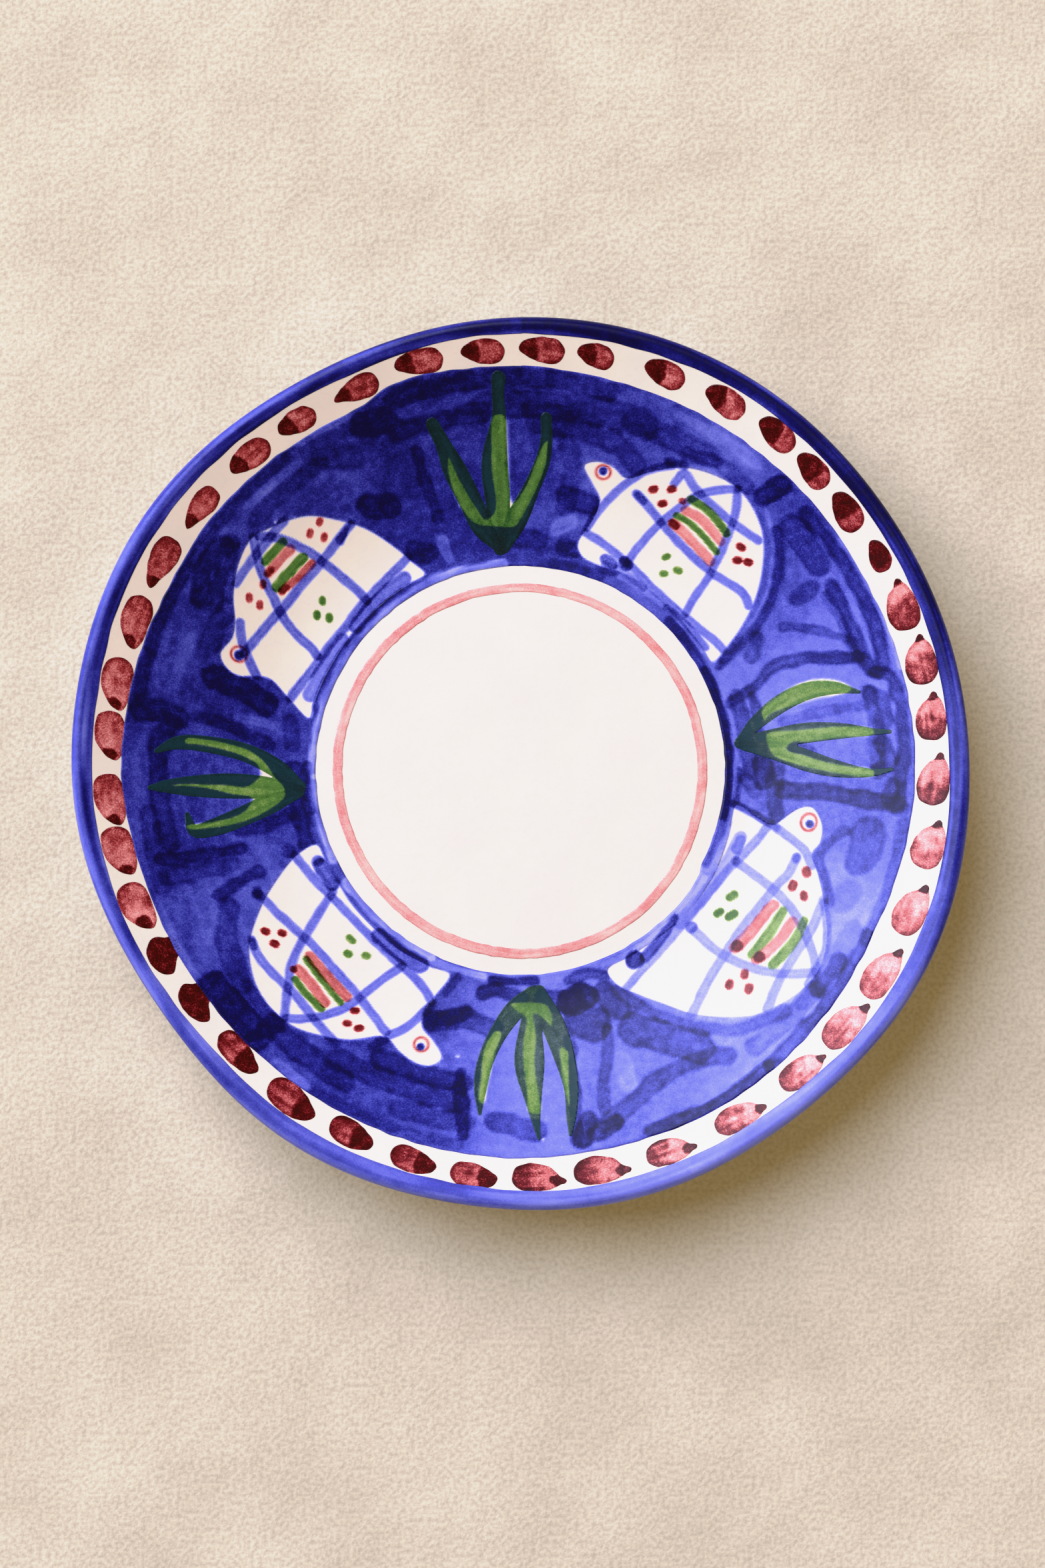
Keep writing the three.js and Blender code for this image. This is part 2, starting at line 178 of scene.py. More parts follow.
def unevenness(radius, angle):
    """The soft dips and throwing rings left by the potter's hand."""
    x, y = plan(angle, radius)
    dips = value_noise(x, y, 31, 3) + 0.5 * value_noise(x, y, 17, 4) - 0.75
    rings = np.sin(radius / THROWING_RING_PITCH + 1.5 * np.sin(np.radians(angle)))
    rings = rings * smooth_step(66, 90, radius)
    return DIP_DEPTH * dips + THROWING_RING_DEPTH * rings


def wall_run(radius, angle):
    """How far out from the well's edge a radius is, with the wobble taken off."""
    return np.maximum(0, radius - rim_wobble(angle) * wobble_share(radius) - WELL_RADIUS)


def front_place(radius, angle):
    """Radius, height and facing of the front surface at a true radius."""
    run = wall_run(radius, angle)
    height = WELL_HEIGHT + WALL_SLOPE * (run - WALL_EASE * (1 - np.exp(-run / WALL_EASE)))
    height = height + unevenness(radius, angle) * smooth_step(0, 12, PLATE_RADIUS + 1 - radius)
    slope = WALL_SLOPE * (1 - np.exp(-run / WALL_EASE))
    length = np.hypot(slope, 1)
    return radius, height, -slope / length, 1 / length


def lip_edge(angle):
    return LIP_START + rim_wobble(angle)


def lip_place(turned, angle):
    """The rounded lip, turned from 0 at the front of the wall to 180 at the back."""
    radius, height, out_r, out_z = front_place(lip_edge(angle), angle)
    facing = np.arctan2(out_z, out_r) - np.radians(turned)
    turned_r, turned_z = np.cos(facing), np.sin(facing)
    return (
        radius + LIP_RADIUS * (turned_r - out_r),
        height + LIP_RADIUS * (turned_z - out_z),
        turned_r,
        turned_z,
    )


def back_place(nominal, angle):
    """The outside of the wall, with the marks of turning."""
    radius = nominal + wobble_share(nominal) * rim_wobble(angle)
    _, height, out_r, out_z = front_place(radius, angle)
    share = (nominal - FOOT_OUTER) / (LIP_START - FOOT_OUTER)
    thickness = FLOOR_THICKNESS + (WALL_THICKNESS - FLOOR_THICKNESS) * share
    marks = np.sin(nominal / TURNING_MARK_PITCH + 0.4 * np.sin(np.radians(angle)))
    marks = marks * smooth_step(128, 118, nominal) * smooth_step(68, 74, nominal)
    height = height - thickness + TURNING_MARK_DEPTH * marks
    return radius, height, -out_r, -out_z


# ---- meshes ----

def plate_points(radius, height, angle):
    x, y = plan(angle, radius)
    return np.stack([x, y, height + 0 * x], -1).reshape(-1, 3) * MM


def make_object(name, points, faces, smooth):
    mesh = bpy.data.meshes.new(name)
    mesh.from_pydata(points.tolist(), [], faces)
    mesh.polygons.foreach_set("use_smooth", smooth)
    mesh.update()
    piece = bpy.data.objects.new(name, mesh)
    bpy.context.scene.collection.objects.link(piece)
    return piece


def set_paint(piece, **densities):
    """Gives each vertex its amount of each paint, for the materials to read."""
    for paint, values in densities.items():
        attribute = piece.data.attributes.new(paint, "FLOAT", "POINT")
        attribute.data.foreach_set("value", np.asarray(values, np.float32))


def cell_polygons(inside, distance, wraps):
    """Splits a grid into polygons that stay on the inside of distance = 0.

    Returns the polygons as lists of vertex numbers, and the extra vertices as (a, b, share)."""
    rows, columns = inside.shape
    spans = columns if wraps else columns - 1
    row, column = np.meshgrid(np.arange(rows - 1), np.arange(spans), indexing="ij")
    following = (column + 1) % columns
    corners = np.stack([
        row * columns + column,
        row * columns + following,
        (row + 1) * columns + following,
        (row + 1) * columns + column,
    ], -1).reshape(-1, 4)
    flat = inside.ravel()
    count = flat[corners].sum(1)
    polygons = corners[count == 4].tolist()
    crossings = {}
    extra = []
    for cell in corners[(count > 0) & (count < 4)].tolist():
        polygon = []
        for here, there in zip(cell, cell[1:] + cell[:1]):
            if flat[here]:
                polygon.append(here)
            if flat[here] != flat[there]:
                key = (min(here, there), max(here, there))
                if key not in crossings:
                    low, high = distance[key[0]], distance[key[1]]
                    crossings[key] = flat.size + len(extra)
                    extra.append((*key, low / (low - high)))
                polygon.append(crossings[key])
        polygons.append(polygon)
    return polygons, extra


def boundary_edges(polygons):
    """Edges that only one polygon has, in that polygon's direction."""
    edges = set()
    for polygon in polygons:
        edges.update(zip(polygon, polygon[1:] + polygon[:1]))
    return [(a, b) for a, b in edges if (b, a) not in edges]


def film(name, place, angle, coordinate, rise, depth, distance=None, wraps=False):
    """A thin closed film over a grid of (angle, coordinate), cut where distance is above 0.

    place turns a coordinate and an angle into radius, height and facing. Returns the piece and
    the angle and coordinate of each vertex."""
    inside = np.ones(angle.shape, bool) if distance is None else distance < 0
    flat_distance = None if distance is None else distance.ravel()
    polygons, extra = cell_polygons(inside, flat_distance, wraps)
    angles, coordinates = angle.ravel(), coordinate.ravel()
    if extra:
        first, second, share = (np.array(column) for column in zip(*extra))
        cut_angles = angles[first] + (angles[second] - angles[first]) * share
        cut_coordinates = coordinates[first] + (coordinates[second] - coordinates[first]) * share
        angles = np.concatenate([angles, cut_angles])
        coordinates = np.concatenate([coordinates, cut_coordinates])
    used = np.unique(np.concatenate([np.array(polygon) for polygon in polygons]))
    number = np.full(angles.size, -1)
    number[used] = np.arange(used.size)
    number = number.tolist()
    polygons = [[number[vertex] for vertex in polygon] for polygon in polygons]
    angles, coordinates = angles[used], coordinates[used]

    radius, height, out_r, out_z = place(coordinates, angles)
    top = plate_points(radius + rise * out_r, height + rise * out_z, angles)
    under = plate_points(radius - depth * out_r, height - depth * out_z, angles)
    total = used.size
    faces = list(polygons)
    faces += [[vertex + total for vertex in reversed(polygon)] for polygon in polygons]
    walls = [[b, a, a + total, b + total] for a, b in sorted(boundary_edges(polygons))]
    smooth = [True] * len(faces) + [False] * len(walls)
    piece = make_object(name, np.vstack([top, under]), faces + walls, smooth)
    return piece, np.tile(angles, 2), np.tile(coordinates, 2)


def solid_of_rings(name, lines, columns):
    """A closed solid swept round the plate through lines of (radius, height).

    A line of radius 0 is one point on the axis. The last line joins the first, or both are on
    the axis."""
    angle = np.arange(columns) * 360 / columns
    points = []
    starts = []
    for line in lines:
        starts.append(sum(len(part) for part in points))
        radius, height = line(angle)
        if np.ndim(radius) == 0:
            points.append(np.array([[0, 0, height * MM]]))
        else:
            points.append(plate_points(radius, height, angle))
    single = [len(part) == 1 for part in points]

    def vertex(row, step):
        return starts[row] + (0 if single[row] else step % columns)

    faces = []
    for row in range(len(lines)):
        following = (row + 1) % len(lines)
        if single[row] and single[following]:
            continue
        for step in range(columns):
            quad = [
                vertex(row, step), vertex(row, step + 1),
                vertex(following, step + 1), vertex(following, step),
            ]
            faces.append(list(dict.fromkeys(quad)))
    return make_object(name, np.vstack(points), faces, [True] * len(faces))


# ---- distances on the plate's plan ----

def path_distance(x, y, path):
    """Distance from points to the edge of a stroke through (x, y, width), with the place along it
    and across it of the nearest point."""
    best = np.full(x.shape, 1e9)
    along = np.zeros(x.shape)
    across = np.zeros(x.shape)
    run = 0.0
    for (ax, ay, aw), (bx, by, bw) in zip(path, path[1:]):
        dx, dy = bx - ax, by - ay
        length = math.hypot(dx, dy) or 1e-6
        share = np.clip(((x - ax) * dx + (y - ay) * dy) / length**2, 0, 1)
        off_x, off_y = x - ax - share * dx, y - ay - share * dy
        distance = np.hypot(off_x, off_y) - (aw + (bw - aw) * share) / 2
        nearer = distance < best
        best = np.where(nearer, distance, best)
        along = np.where(nearer, run + share * length, along)
        across = np.where(nearer, (dx * off_y - dy * off_x) / length, across)
        run += length
    return best, along, across


def polygon_distance(x, y, outline):
    """Signed distance to a closed outline of plan points, below 0 inside."""
    best = np.full(x.shape, 1e9)
    inside = np.zeros(x.shape, bool)
    for (ax, ay), (bx, by) in zip(outline, np.roll(outline, -1, 0)):
        dx, dy = bx - ax, by - ay
        share = np.clip(((x - ax) * dx + (y - ay) * dy) / max(dx * dx + dy * dy, 1e-12), 0, 1)
        best = np.minimum(best, np.hypot(x - ax - share * dx, y - ay - share * dy))
        crosses = (ay > y) != (by > y)
        inside ^= crosses & (x < ax + (y - ay) * dx / (dy if dy else 1e-12))
    return np.where(inside, -best, best)


def polar_outline(points, steps=6):
    """A smooth closed outline in plan through points of (angle, radius)."""
    corners = [plan(angle, radius) for angle, radius in points]
    return smooth_path(corners, closed=True, steps=steps)


DEGREE_LENGTH = 1.5     # about how long a degree is on the wall, to space curves evenly


def polar_path(points, width=None):
    """A stroke's path in plan. Points are (angle, radius), or (angle, radius, width)."""
    if len(points) == 1:
        points = [points[0], (points[0][0] + 0.05, *points[0][1:])]
    rows = [(angle * DEGREE_LENGTH, radius, *(rest or (width,))) for angle, radius, *rest in points]
    curve = smooth_path(rows, steps=1)
    length = max(math.dist(a[:2], b[:2]) for a, b in zip(curve, curve[1:]))
    curve = smooth_path(rows, steps=max(2, math.ceil(length / 2.5)))
    x, y = plan(curve[:, 0] / DEGREE_LENGTH, curve[:, 1])
    return np.stack([x, y, np.maximum(curve[:, 2], 0.3)], -1)


def brushed(x, y, strokes, softness, streaks=0.25, uneven=0, seed=0):
    """Adds up the paint that strokes of (amount, width, points) leave at plan points."""
    total = np.zeros(x.shape)
    for number, (amount, width, points) in enumerate(strokes):
        path = polar_path(points, width)
        reach = path[:, 2].max() / 2 + 2
        near = (
            (x > path[:, 0].min() - reach) & (x < path[:, 0].max() + reach)
            & (y > path[:, 1].min() - reach) & (y < path[:, 1].max() + reach)
        )
        if not near.any():
            continue
        distance, along, across = path_distance(x[near], y[near], path)
        ragged = (0.5 + uneven) * (value_noise(x[near], y[near], 2.3 + 2 * uneven, seed + 5) - 0.5)
        distance = distance + ragged * min(1, width / 4)
        cover = smooth_step(softness, -softness, distance)
        bristles = value_noise(across * 1.0, along / 9, 0.8, seed + number) - 0.5
        pooled = np.exp(-(((distance + 0.7) / 0.55) ** 2))
        blotches = uneven * (layered_noise(x[near], y[near], 8, seed + 40 + number) - 0.5)
        total[near] += amount * cover * (0.92 + streaks * bristles + 0.28 * pooled + blotches)
    return total


# ---- what is painted: the tortoises ----

def dots(amount, width, *places):
    """Short strokes of a loaded brush, one at each (angle, radius)."""
    return [
        (amount, width, [(angle, radius), (angle + 0.4, radius + 0.4)]) for angle, radius in places
    ]


# Each outline starts at the tail, runs over the shell to the neck and head, and back along the
# feet. Lines, green and red are strokes: (amount of paint, width, points of (angle, radius)). An
# eye is (angle, radius, half its width in degrees, half its height). A pupil is (angle, radius,
# width).
TORTOISES = {
    "north_east": {
        "outline": [
            (61.2, 65.5), (59.6, 72), (57.4, 79), (54.2, 87), (50.3, 94.3), (46.3, 100.2),
            (42.4, 103.5), (38, 105.3), (33, 104.3), (28.3, 101.8), (23.8, 97), (19.8, 92.4),
            (17, 94.2), (14, 94.7), (11.5, 92.6), (13.7, 88), (16, 84), (15.8, 78), (13.7, 69.5),
            (15.5, 66.3), (19.5, 65.2), (30, 66.2), (45, 65.4), (56, 65.2),
        ],
        "lines": [
            (1.2, 2.4, [(15, 75), (16.3, 80), (18.2, 86), (20.6, 92), (23.2, 97), (26.6, 101)]),
            (1.2, 2.4, [(38, 105), (35.5, 101.5), (33, 97), (31, 90), (29, 82), (27.7, 75),
                        (27, 69)]),
            (2.2, 3.8, [(26.3, 69.2), (27.4, 68.8)]),
            (1.7, 3.2, [(21.6, 67.7), (24, 67.3)]),
            (1.2, 2.4, [(38, 105), (40, 100), (41.8, 93), (43.5, 85), (44.8, 78), (45.6, 72),
                        (46.8, 67.5)]),
            (1.2, 2.4, [(28.3, 96.5), (29, 100.5), (32, 98.3), (36, 97), (40, 96.6), (44, 97.2),
                      (46.5, 98)]),
            (1.5, 2.4, [(25.5, 101.5), (28.5, 102.5)]),
            (1.2, 2.4, [(23, 89), (26, 87), (30, 84.5), (35, 82.5), (40, 81.7), (44, 81.7),
                        (48, 83), (52, 84.5), (54.8, 83.7)]),
            (1.2, 2.4, [(22.6, 89.2), (24.5, 88)]),
            (1.2, 2.4, [(15, 73.5), (20, 71.8), (25, 70), (30, 68.5), (35, 67), (40, 66.5),
                        (46, 66.7), (52, 67.8), (57, 69.5), (60, 70.2)]),
            (1.3, 2, [(42, 65), (50, 65.6), (57, 66)]),
            (0.9, 2.4, [(22, 66.3), (27, 66.5), (34, 65.3)]),
        ],
        "eye": (15.3, 92, 1.35, 2),
        "pupil": (15.2, 92.4, 2.3),
        "green": [
            (1.1, 2.2, [(32.3, 95), (36, 95), (41.3, 93.2)]),
            (1.1, 1.8, [(31.5, 88.8), (35, 89), (42.3, 87.2)]),
            (0.85, 2.1, [(34.2, 76.6), (34.5, 77.2)]),
            (0.85, 2.1, [(38, 75.6), (38.6, 75.8)]),
            (0.85, 2.1, [(36, 72.2), (36.4, 72.6)]),
        ],
        "red": [
            (0.42, 2.8, [(32.5, 91.5), (36, 91.8), (41.5, 90.3)]),
            (0.42, 3, [(31.8, 86.2), (36, 85.3), (42.5, 83.8)]),
            (1.3, 2.2, [(31.5, 86.2), (32.6, 86)]),
            (1.45, 2.1, [(28.2, 94.6), (28.5, 95)]),
            *dots(1.45, 2.1, (25.1, 92.1), (27.8, 89.6)),
            (1.1, 1.8, [(31, 93.2), (31.4, 93.4)]),
            (1.45, 2.1, [(44.8, 93), (45.3, 93.2)]),
            *dots(1.45, 2.1, (47.8, 91.3), (46.1, 89.5)),
        ],
    },
    "south_east": {
        "outline": [
            (157.7, 66.8), (157, 72), (153.6, 77.3), (149.6, 83.8), (145.5, 91.6), (138.5, 101.6),
            (134.6, 104.8), (130, 107.4), (125, 108), (120, 105), (115, 99.5), (110.5, 94.5),
            (107.3, 91), (105, 92.4), (101.5, 91.8), (98.5, 88), (98.9, 84.5), (101.5, 80.3),
            (103.5, 77.5), (102.5, 72), (100.4, 65.6), (108.5, 65.6), (120, 66.5), (135, 66.5),
            (150, 66),
        ],
        # This tortoise's line work gets less paint than the others': partly thinner paint, and
        # partly a painted sheen where the light's sheen falls on the wall.
        "lines": [
            (0.7, 2.6, [(109.5, 92), (107, 88.5), (105, 82), (103.5, 77), (101.5, 70),
                        (100.3, 64.5)]),
            (1, 2, [(104, 79), (103, 75), (101.5, 70), (100.3, 64.5)]),
            (0.6, 2.8, [(125.8, 108), (123.5, 104), (121, 98.5), (118.5, 92), (117, 86),
                        (115.7, 79), (114.5, 71)]),
            (0.9, 2.6, [(114.2, 70.3)]),
            (0.6, 2.8, [(126, 107.5), (128.5, 102), (131, 95), (133, 87), (134, 80), (134.2, 72)]),
            (1.2, 3.4, [(134, 70.5)]),
            (0.6, 2.8, [(114.5, 99), (120, 99.8), (126, 99.8), (131, 101), (135.5, 104)]),
            (0.6, 2.8, [(109, 87), (112, 86.5), (116, 84.5), (122, 82.8), (128, 82.3), (134, 83.5),
                        (140, 86), (146.5, 91)]),
            (1, 2, [(108.7, 87), (109.4, 87)]),
            (0.75, 2.6, [(104.5, 76), (108, 74), (112, 71.8), (117, 69.5), (123, 68.3), (130, 67.8),
                        (138, 68.3), (145, 70), (150, 71.5), (155.5, 74.3)]),
            (0.7, 2.6, [(115, 99.5), (118, 103), (122, 106.5), (128, 108)]),
            (0.5, 4, [(108.5, 69), (115, 68.4), (125, 67.2), (135, 67)]),
            (0.8, 3, [(109, 69.4), (111.5, 69.2)]),
            (2.9, 5.5, [(150.2, 67.8)]),
            (1.9, 1.6, [(135, 65, 2), (140, 66.4, 2.8), (147.5, 68.6, 3.4)]),
        ],
        "eye": (101.5, 87.8, 1.7, 2.3),
        "pupil": (101.8, 88.2, 2),
        "green": [
            (0.7, 2.8, [(119.3, 96.6, 2.2), (122.5, 97.3, 3), (129, 96.3, 2.8)]),
            (0.7, 2.8, [(119.5, 89.8, 2.2), (124, 89.8, 3), (130, 89.5, 2.6)]),
            (0.95, 2.4, [(125.2, 77.9), (126.6, 77.1)]),
            (0.95, 2.4, [(121.6, 74.7), (122.7, 74)]),
            (1.1, 2.3, [(126.6, 74.2), (127.6, 73.8)]),
        ],
        "red": [
            (0.42, 3.4, [(120.5, 94), (125, 93.3), (130, 91.5)]),
            (1.2, 3.3, [(129.4, 91.8)]),
            (0.45, 3.5, [(119.5, 86.5), (121, 85.7), (127, 85), (131, 84.3)]),
            (1.1, 3.4, [(130.4, 84.5)]),
            *dots(1.1, 2.5, (110.8, 91), (115.1, 93.1)),
            (1.1, 2.5, [(114, 89), (114.6, 89)]),
            *dots(1.1, 2.5, (134.9, 95.6), (133.4, 91.6), (136.8, 90.6)),
        ],
    },
    "south_west": {
        "outline": [
            (249, 66.8), (248.5, 73), (244.5, 83), (241, 90.5), (237, 97.7), (234, 101.2),
            (230, 104.2), (226, 105.4), (221, 104.8), (217, 102.2), (212, 98), (206.7, 92),
            (203.5, 94), (200, 95.6), (197, 95), (195.4, 91.7), (197.8, 87.5), (200.8, 84.7),
            (202, 80), (200.8, 74.5), (199.3, 66.8), (205, 66.9), (215, 67), (230, 66.5),
            (243, 66.2),
        ],
        "lines": [
            (1.25, 2.5, [(206.3, 91.3), (204, 87), (202, 81), (201, 78)]),
            (1.25, 2.5, [(222.8, 104.5), (220.5, 101), (218, 96), (215.8, 90), (214.5, 83),
                         (212.8, 76), (211, 71)]),
            (1.25, 2.5, [(223, 104.5), (226, 98), (229, 92), (231, 86), (233, 79), (235, 73),
                      (236.3, 69)]),
            (1.25, 2.5, [(213.5, 101), (218, 99.5), (224, 97.5), (230, 98), (234, 98.3),
                         (236.5, 97.3)]),
            (1.3, 2, [(235.5, 97.8), (237, 97)]),
            (1.25, 2.5, [(207, 90.5), (211, 87.8), (216, 85.3), (222, 84), (229, 83.5), (235, 85),
                      (240, 87), (244.5, 88.8)]),
            (1.5, 2.8, [(243.8, 89)]),
            (1.25, 2.5, [(201, 76.5), (205, 73), (210, 71), (216, 70), (222, 69.3), (232, 69.5),
                      (238, 70.8), (243, 72.3), (248.5, 74)]),
            (1.8, 4.8, [(207, 67.8), (220, 67.4)]),
            (2, 4, [(238, 67.8), (244, 68.4)]),
            (1.4, 3.4, [(245, 68.5)]),
        ],
        "eye": (199.9, 89.7, 1.35, 2.1),
        "pupil": (199.9, 90.5, 2),
        "green": [
            (1.1, 2, [(219.3, 95.3), (223, 95), (226.5, 94.3)]),
            (1.1, 1.8, [(217.3, 90.3), (222, 89), (228, 87.7)]),
            (0.85, 2.1, [(222.5, 77.6), (223, 77.8)]),
            (0.85, 2.1, [(219.2, 74.4), (219.6, 74.6)]),
            (0.9, 2, [(224, 73.8), (225.2, 73.8)]),
        ],
        "red": [
            (0.6, 3, [(219.5, 93.2), (223, 92), (227.5, 91.5)]),
            (1.3, 2, [(228, 92.6)]),
            (0.6, 3.2, [(217, 87.8), (221, 87), (228, 86.3)]),
            *dots(1.5, 2.1, (211.5, 93.3), (213.8, 94), (214, 89.6)),
            *dots(1.5, 2.1, (233.8, 92.1), (236.7, 92.2), (234.7, 88.3)),
        ],
    },
    "north_west": {
        "outline": [
            (333, 65.6), (331.5, 70.8), (330, 76), (326.9, 85), (324.5, 90), (319.6, 98.7),
            (316.5, 101.8), (313, 104.3), (309.7, 106.3), (305, 104.8), (300, 101), (296, 96.8),
            (293.5, 95.8), (290, 97.2), (288, 94.3), (287.2, 90), (288.3, 85.3), (288.8, 81),
            (286.3, 74.5), (282.5, 66.3), (288, 66.5), (300, 66), (315, 65.6), (326, 65.6),
        ],
        "lines": [
            (1.5, 2.6, [(288.5, 85), (291, 88.8), (293.5, 92.5), (296.5, 95.5)]),
            (1.5, 2.6, [(310, 106), (308, 102), (305.5, 96), (303.5, 90), (301.5, 85), (300, 79),
                      (299, 73), (298, 70.5)]),
            (1.5, 2.6, [(310.7, 105), (312.5, 101), (314.1, 95), (315.3, 88), (316, 80),
                        (316.6, 74), (316.7, 69)]),
            (1.5, 2.6, [(302, 102.4), (306, 102.2), (311, 102.4), (315.5, 102.9)]),
            (1.5, 2.6, [(291.5, 90.9), (296, 89), (302, 87.1), (308, 86.4), (315, 86.7), (320, 88),
                      (324.5, 89.8)]),
            (1.7, 2.2, [(320.8, 87.8, 2.6), (324.3, 89.9, 1)]),
            (1.5, 2.6, [(286, 73.5), (290, 71.8), (296, 69.8), (302, 69), (308, 68.5), (314, 69),
                      (320, 69.7), (326, 70.8), (331, 72.3)]),
            (1.1, 4.2, [(288.5, 68), (305, 67)]),
            (1.6, 4.2, [(310, 66.3), (327.5, 67.6)]),
        ],
        "eye": (291.2, 92, 1.4, 2.4),
        "pupil": (290.9, 91.9, 2.8),
        "green": [
            (1.2, 2.6, [(308.2, 99), (312.7, 98.8)]),
            (1.2, 2.8, [(305.8, 91.8), (313.3, 91.5)]),
            *dots(1.15, 2.1, (305.9, 77.2), (309.2, 78.5), (307.2, 73.8)),
        ],
        "red": [
            (0.6, 2.8, [(306.8, 96.3), (312.8, 95.8)]),
            (1, 2, [(306.8, 96.3), (307.6, 96.2)]),
            (0.7, 2.3, [(305.7, 90), (309, 88.8), (313.8, 88.3)]),
            (1, 2, [(305.9, 89.8), (306.8, 89.5)]),
            *dots(1, 2.1, (301.1, 96.5), (304.5, 95.4), (301, 92.8)),
            *dots(1, 2.1, (317.1, 94.8), (319.8, 95.6), (318.6, 91.3)),
        ],
    },
}

# ---- what is painted: the grass tufts ----

# Blades are strokes from foot to tip through (angle, radius, width). Each tuft was painted partly
# over white glaze that the wash left bare, given as outlines.
TUFTS = {
    "north": {
        "blades": [
            [(353.6, 67, 3), (350.5, 73.5, 6.5), (348.7, 82, 7), (346.9, 92, 7), (345.9, 100, 4.6),
             (345, 106, 4)],
            [(354, 66.5, 4), (354.5, 80, 7.4), (354.6, 92, 8), (356, 105, 4.4), (356.1, 112, 3.8),
             (356.3, 116, 4.4)],
            [(355, 67, 4), (358.5, 75, 6.5), (361.6, 84, 5.2), (363.6, 92, 4.6), (364.1, 99, 3.6),
             (363.8, 104.7, 3.4)],
        ],
        "bare": [[
            (349, 74.8), (346.7, 79.5), (345.6, 86), (345.7, 93), (346.4, 96), (347.3, 90),
            (348.6, 84), (350.2, 78.5), (351.3, 76), (353.7, 78), (353.8, 90), (354.2, 97),
            (355, 105.5), (357, 105.5), (357.4, 96), (357.7, 80), (359.2, 82), (361, 86.5),
            (362, 91), (363.5, 97), (364.3, 98.5), (364.5, 93), (363.5, 86.5), (361.5, 80),
            (359.5, 75), (358, 72.8), (353, 73.3),
        ]],
        "green": 1.15,
    },
    "east": {
        "blades": [
            [(83.3, 66.5, 3), (80, 71, 4.2), (76.8, 79, 5.5), (75.5, 88, 5.4), (76.2, 96, 4),
             (78.1, 103.3, 1)],
            [(84, 66, 3.5), (83.8, 76, 5.6), (83.6, 86, 6.2), (84.2, 97, 4.6), (85, 105.5, 2.2),
             (85.3, 110.3, 1.2)],
            [(84.8, 67, 3), (87, 78, 6.2), (89.3, 86, 6.4), (90.9, 94, 5.2), (91.7, 104, 2.6),
             (91.2, 110.5, 1.2)],
        ],
        "bare": [
            [(77, 74), (75, 79), (73.7, 85), (73.6, 91), (74.8, 97), (77, 101.5), (77.8, 100),
             (77.6, 93), (77.6, 86), (77.9, 79), (78.4, 76), (79.4, 74.3)],
            [(82.6, 74.3), (82.8, 84), (83.2, 95), (84.5, 105.5), (85.5, 105.5), (85.3, 95),
             (85.5, 86), (85.2, 82), (86.5, 79.8), (88, 85), (89.5, 91), (90.5, 98),
             (91.2, 105.3), (92.4, 105.3), (92.2, 98), (91.3, 90), (90, 82.5), (88, 76),
             (85.5, 74.3)],
        ],
        "green": 0.7,
    },
    "south": {
        "blades": [
            [(176, 68.5, 4), (173.6, 78, 7), (172.2, 87, 6.6), (171.6, 98, 4.5), (172.3, 107, 3),
             (172.8, 112.3, 1)],
            [(177, 68.5, 4), (178.4, 80, 7), (178.8, 90, 9), (178.3, 101, 5), (178, 107, 2.8),
             (177.6, 112.7, 1)],
            [(177.8, 69, 4.5), (181.7, 73.5, 6), (185.2, 81, 5.4), (187.2, 90, 4.8), (187.5, 98, 4),
             (187, 106, 1)],
        ],
        "bare": [
            [(172.3, 104), (171.8, 97), (171.2, 90), (171.1, 87.3), (172.5, 85.8), (172.9, 90),
             (172.9, 98)],
            [(174, 73), (173.8, 79.5), (175, 77.5), (177.5, 75), (177.2, 82), (177.8, 90),
             (177.4, 98), (177.2, 105), (179, 104.8), (179.4, 98), (180, 90), (180, 83),
             (179.3, 76.5), (181.8, 74), (183, 72.3), (178, 71.5)],
            [(184.5, 81), (185.5, 87), (186, 95), (186.6, 103), (187.5, 102), (187.7, 95),
             (187.9, 88), (187.2, 83.5), (185.8, 80.5)],
        ],
        "green": 0.72,
    },
    "west": {
        "blades": [
            [(263.2, 68, 3), (261.3, 77, 6), (259.5, 86, 6), (258.3, 95, 5.3), (258.4, 101, 3.6),
             (261.2, 102, 1.5)],
            [(263.8, 68.5, 4), (265.2, 80, 7), (265.8, 90, 7.6), (266, 100, 6.2), (266.1, 107, 4),
             (266, 112, 1.5)],
            [(264.6, 68, 4), (269, 74, 5.6), (272.3, 83, 5.6), (273.5, 95, 5), (273.3, 104, 4),
             (271.7, 110, 1.5)],
        ],
        "bare": [[
            (262.5, 72.5), (260.2, 77), (258.8, 82.5), (258.2, 88), (258.2, 95), (258.7, 102.5),
            (259.4, 103), (259.4, 95), (259.8, 88), (261.2, 84), (263, 82.6), (264, 88),
            (265.2, 94), (265.9, 100), (266.1, 106), (266.5, 103), (266.3, 96), (266, 89),
            (265.5, 84), (266.5, 81.3), (267.8, 79.6), (270, 80.3), (271.6, 84.5), (272.6, 90),
            (273.2, 97), (273.3, 101.8), (274.2, 101.8), (274.4, 95), (274, 88.5), (273, 82.5),
            (270.7, 78), (267.3, 75), (264.8, 72.5),
        ]],
        "green": 0.85,
    },
}

# ---- what is painted: the blue wash ----

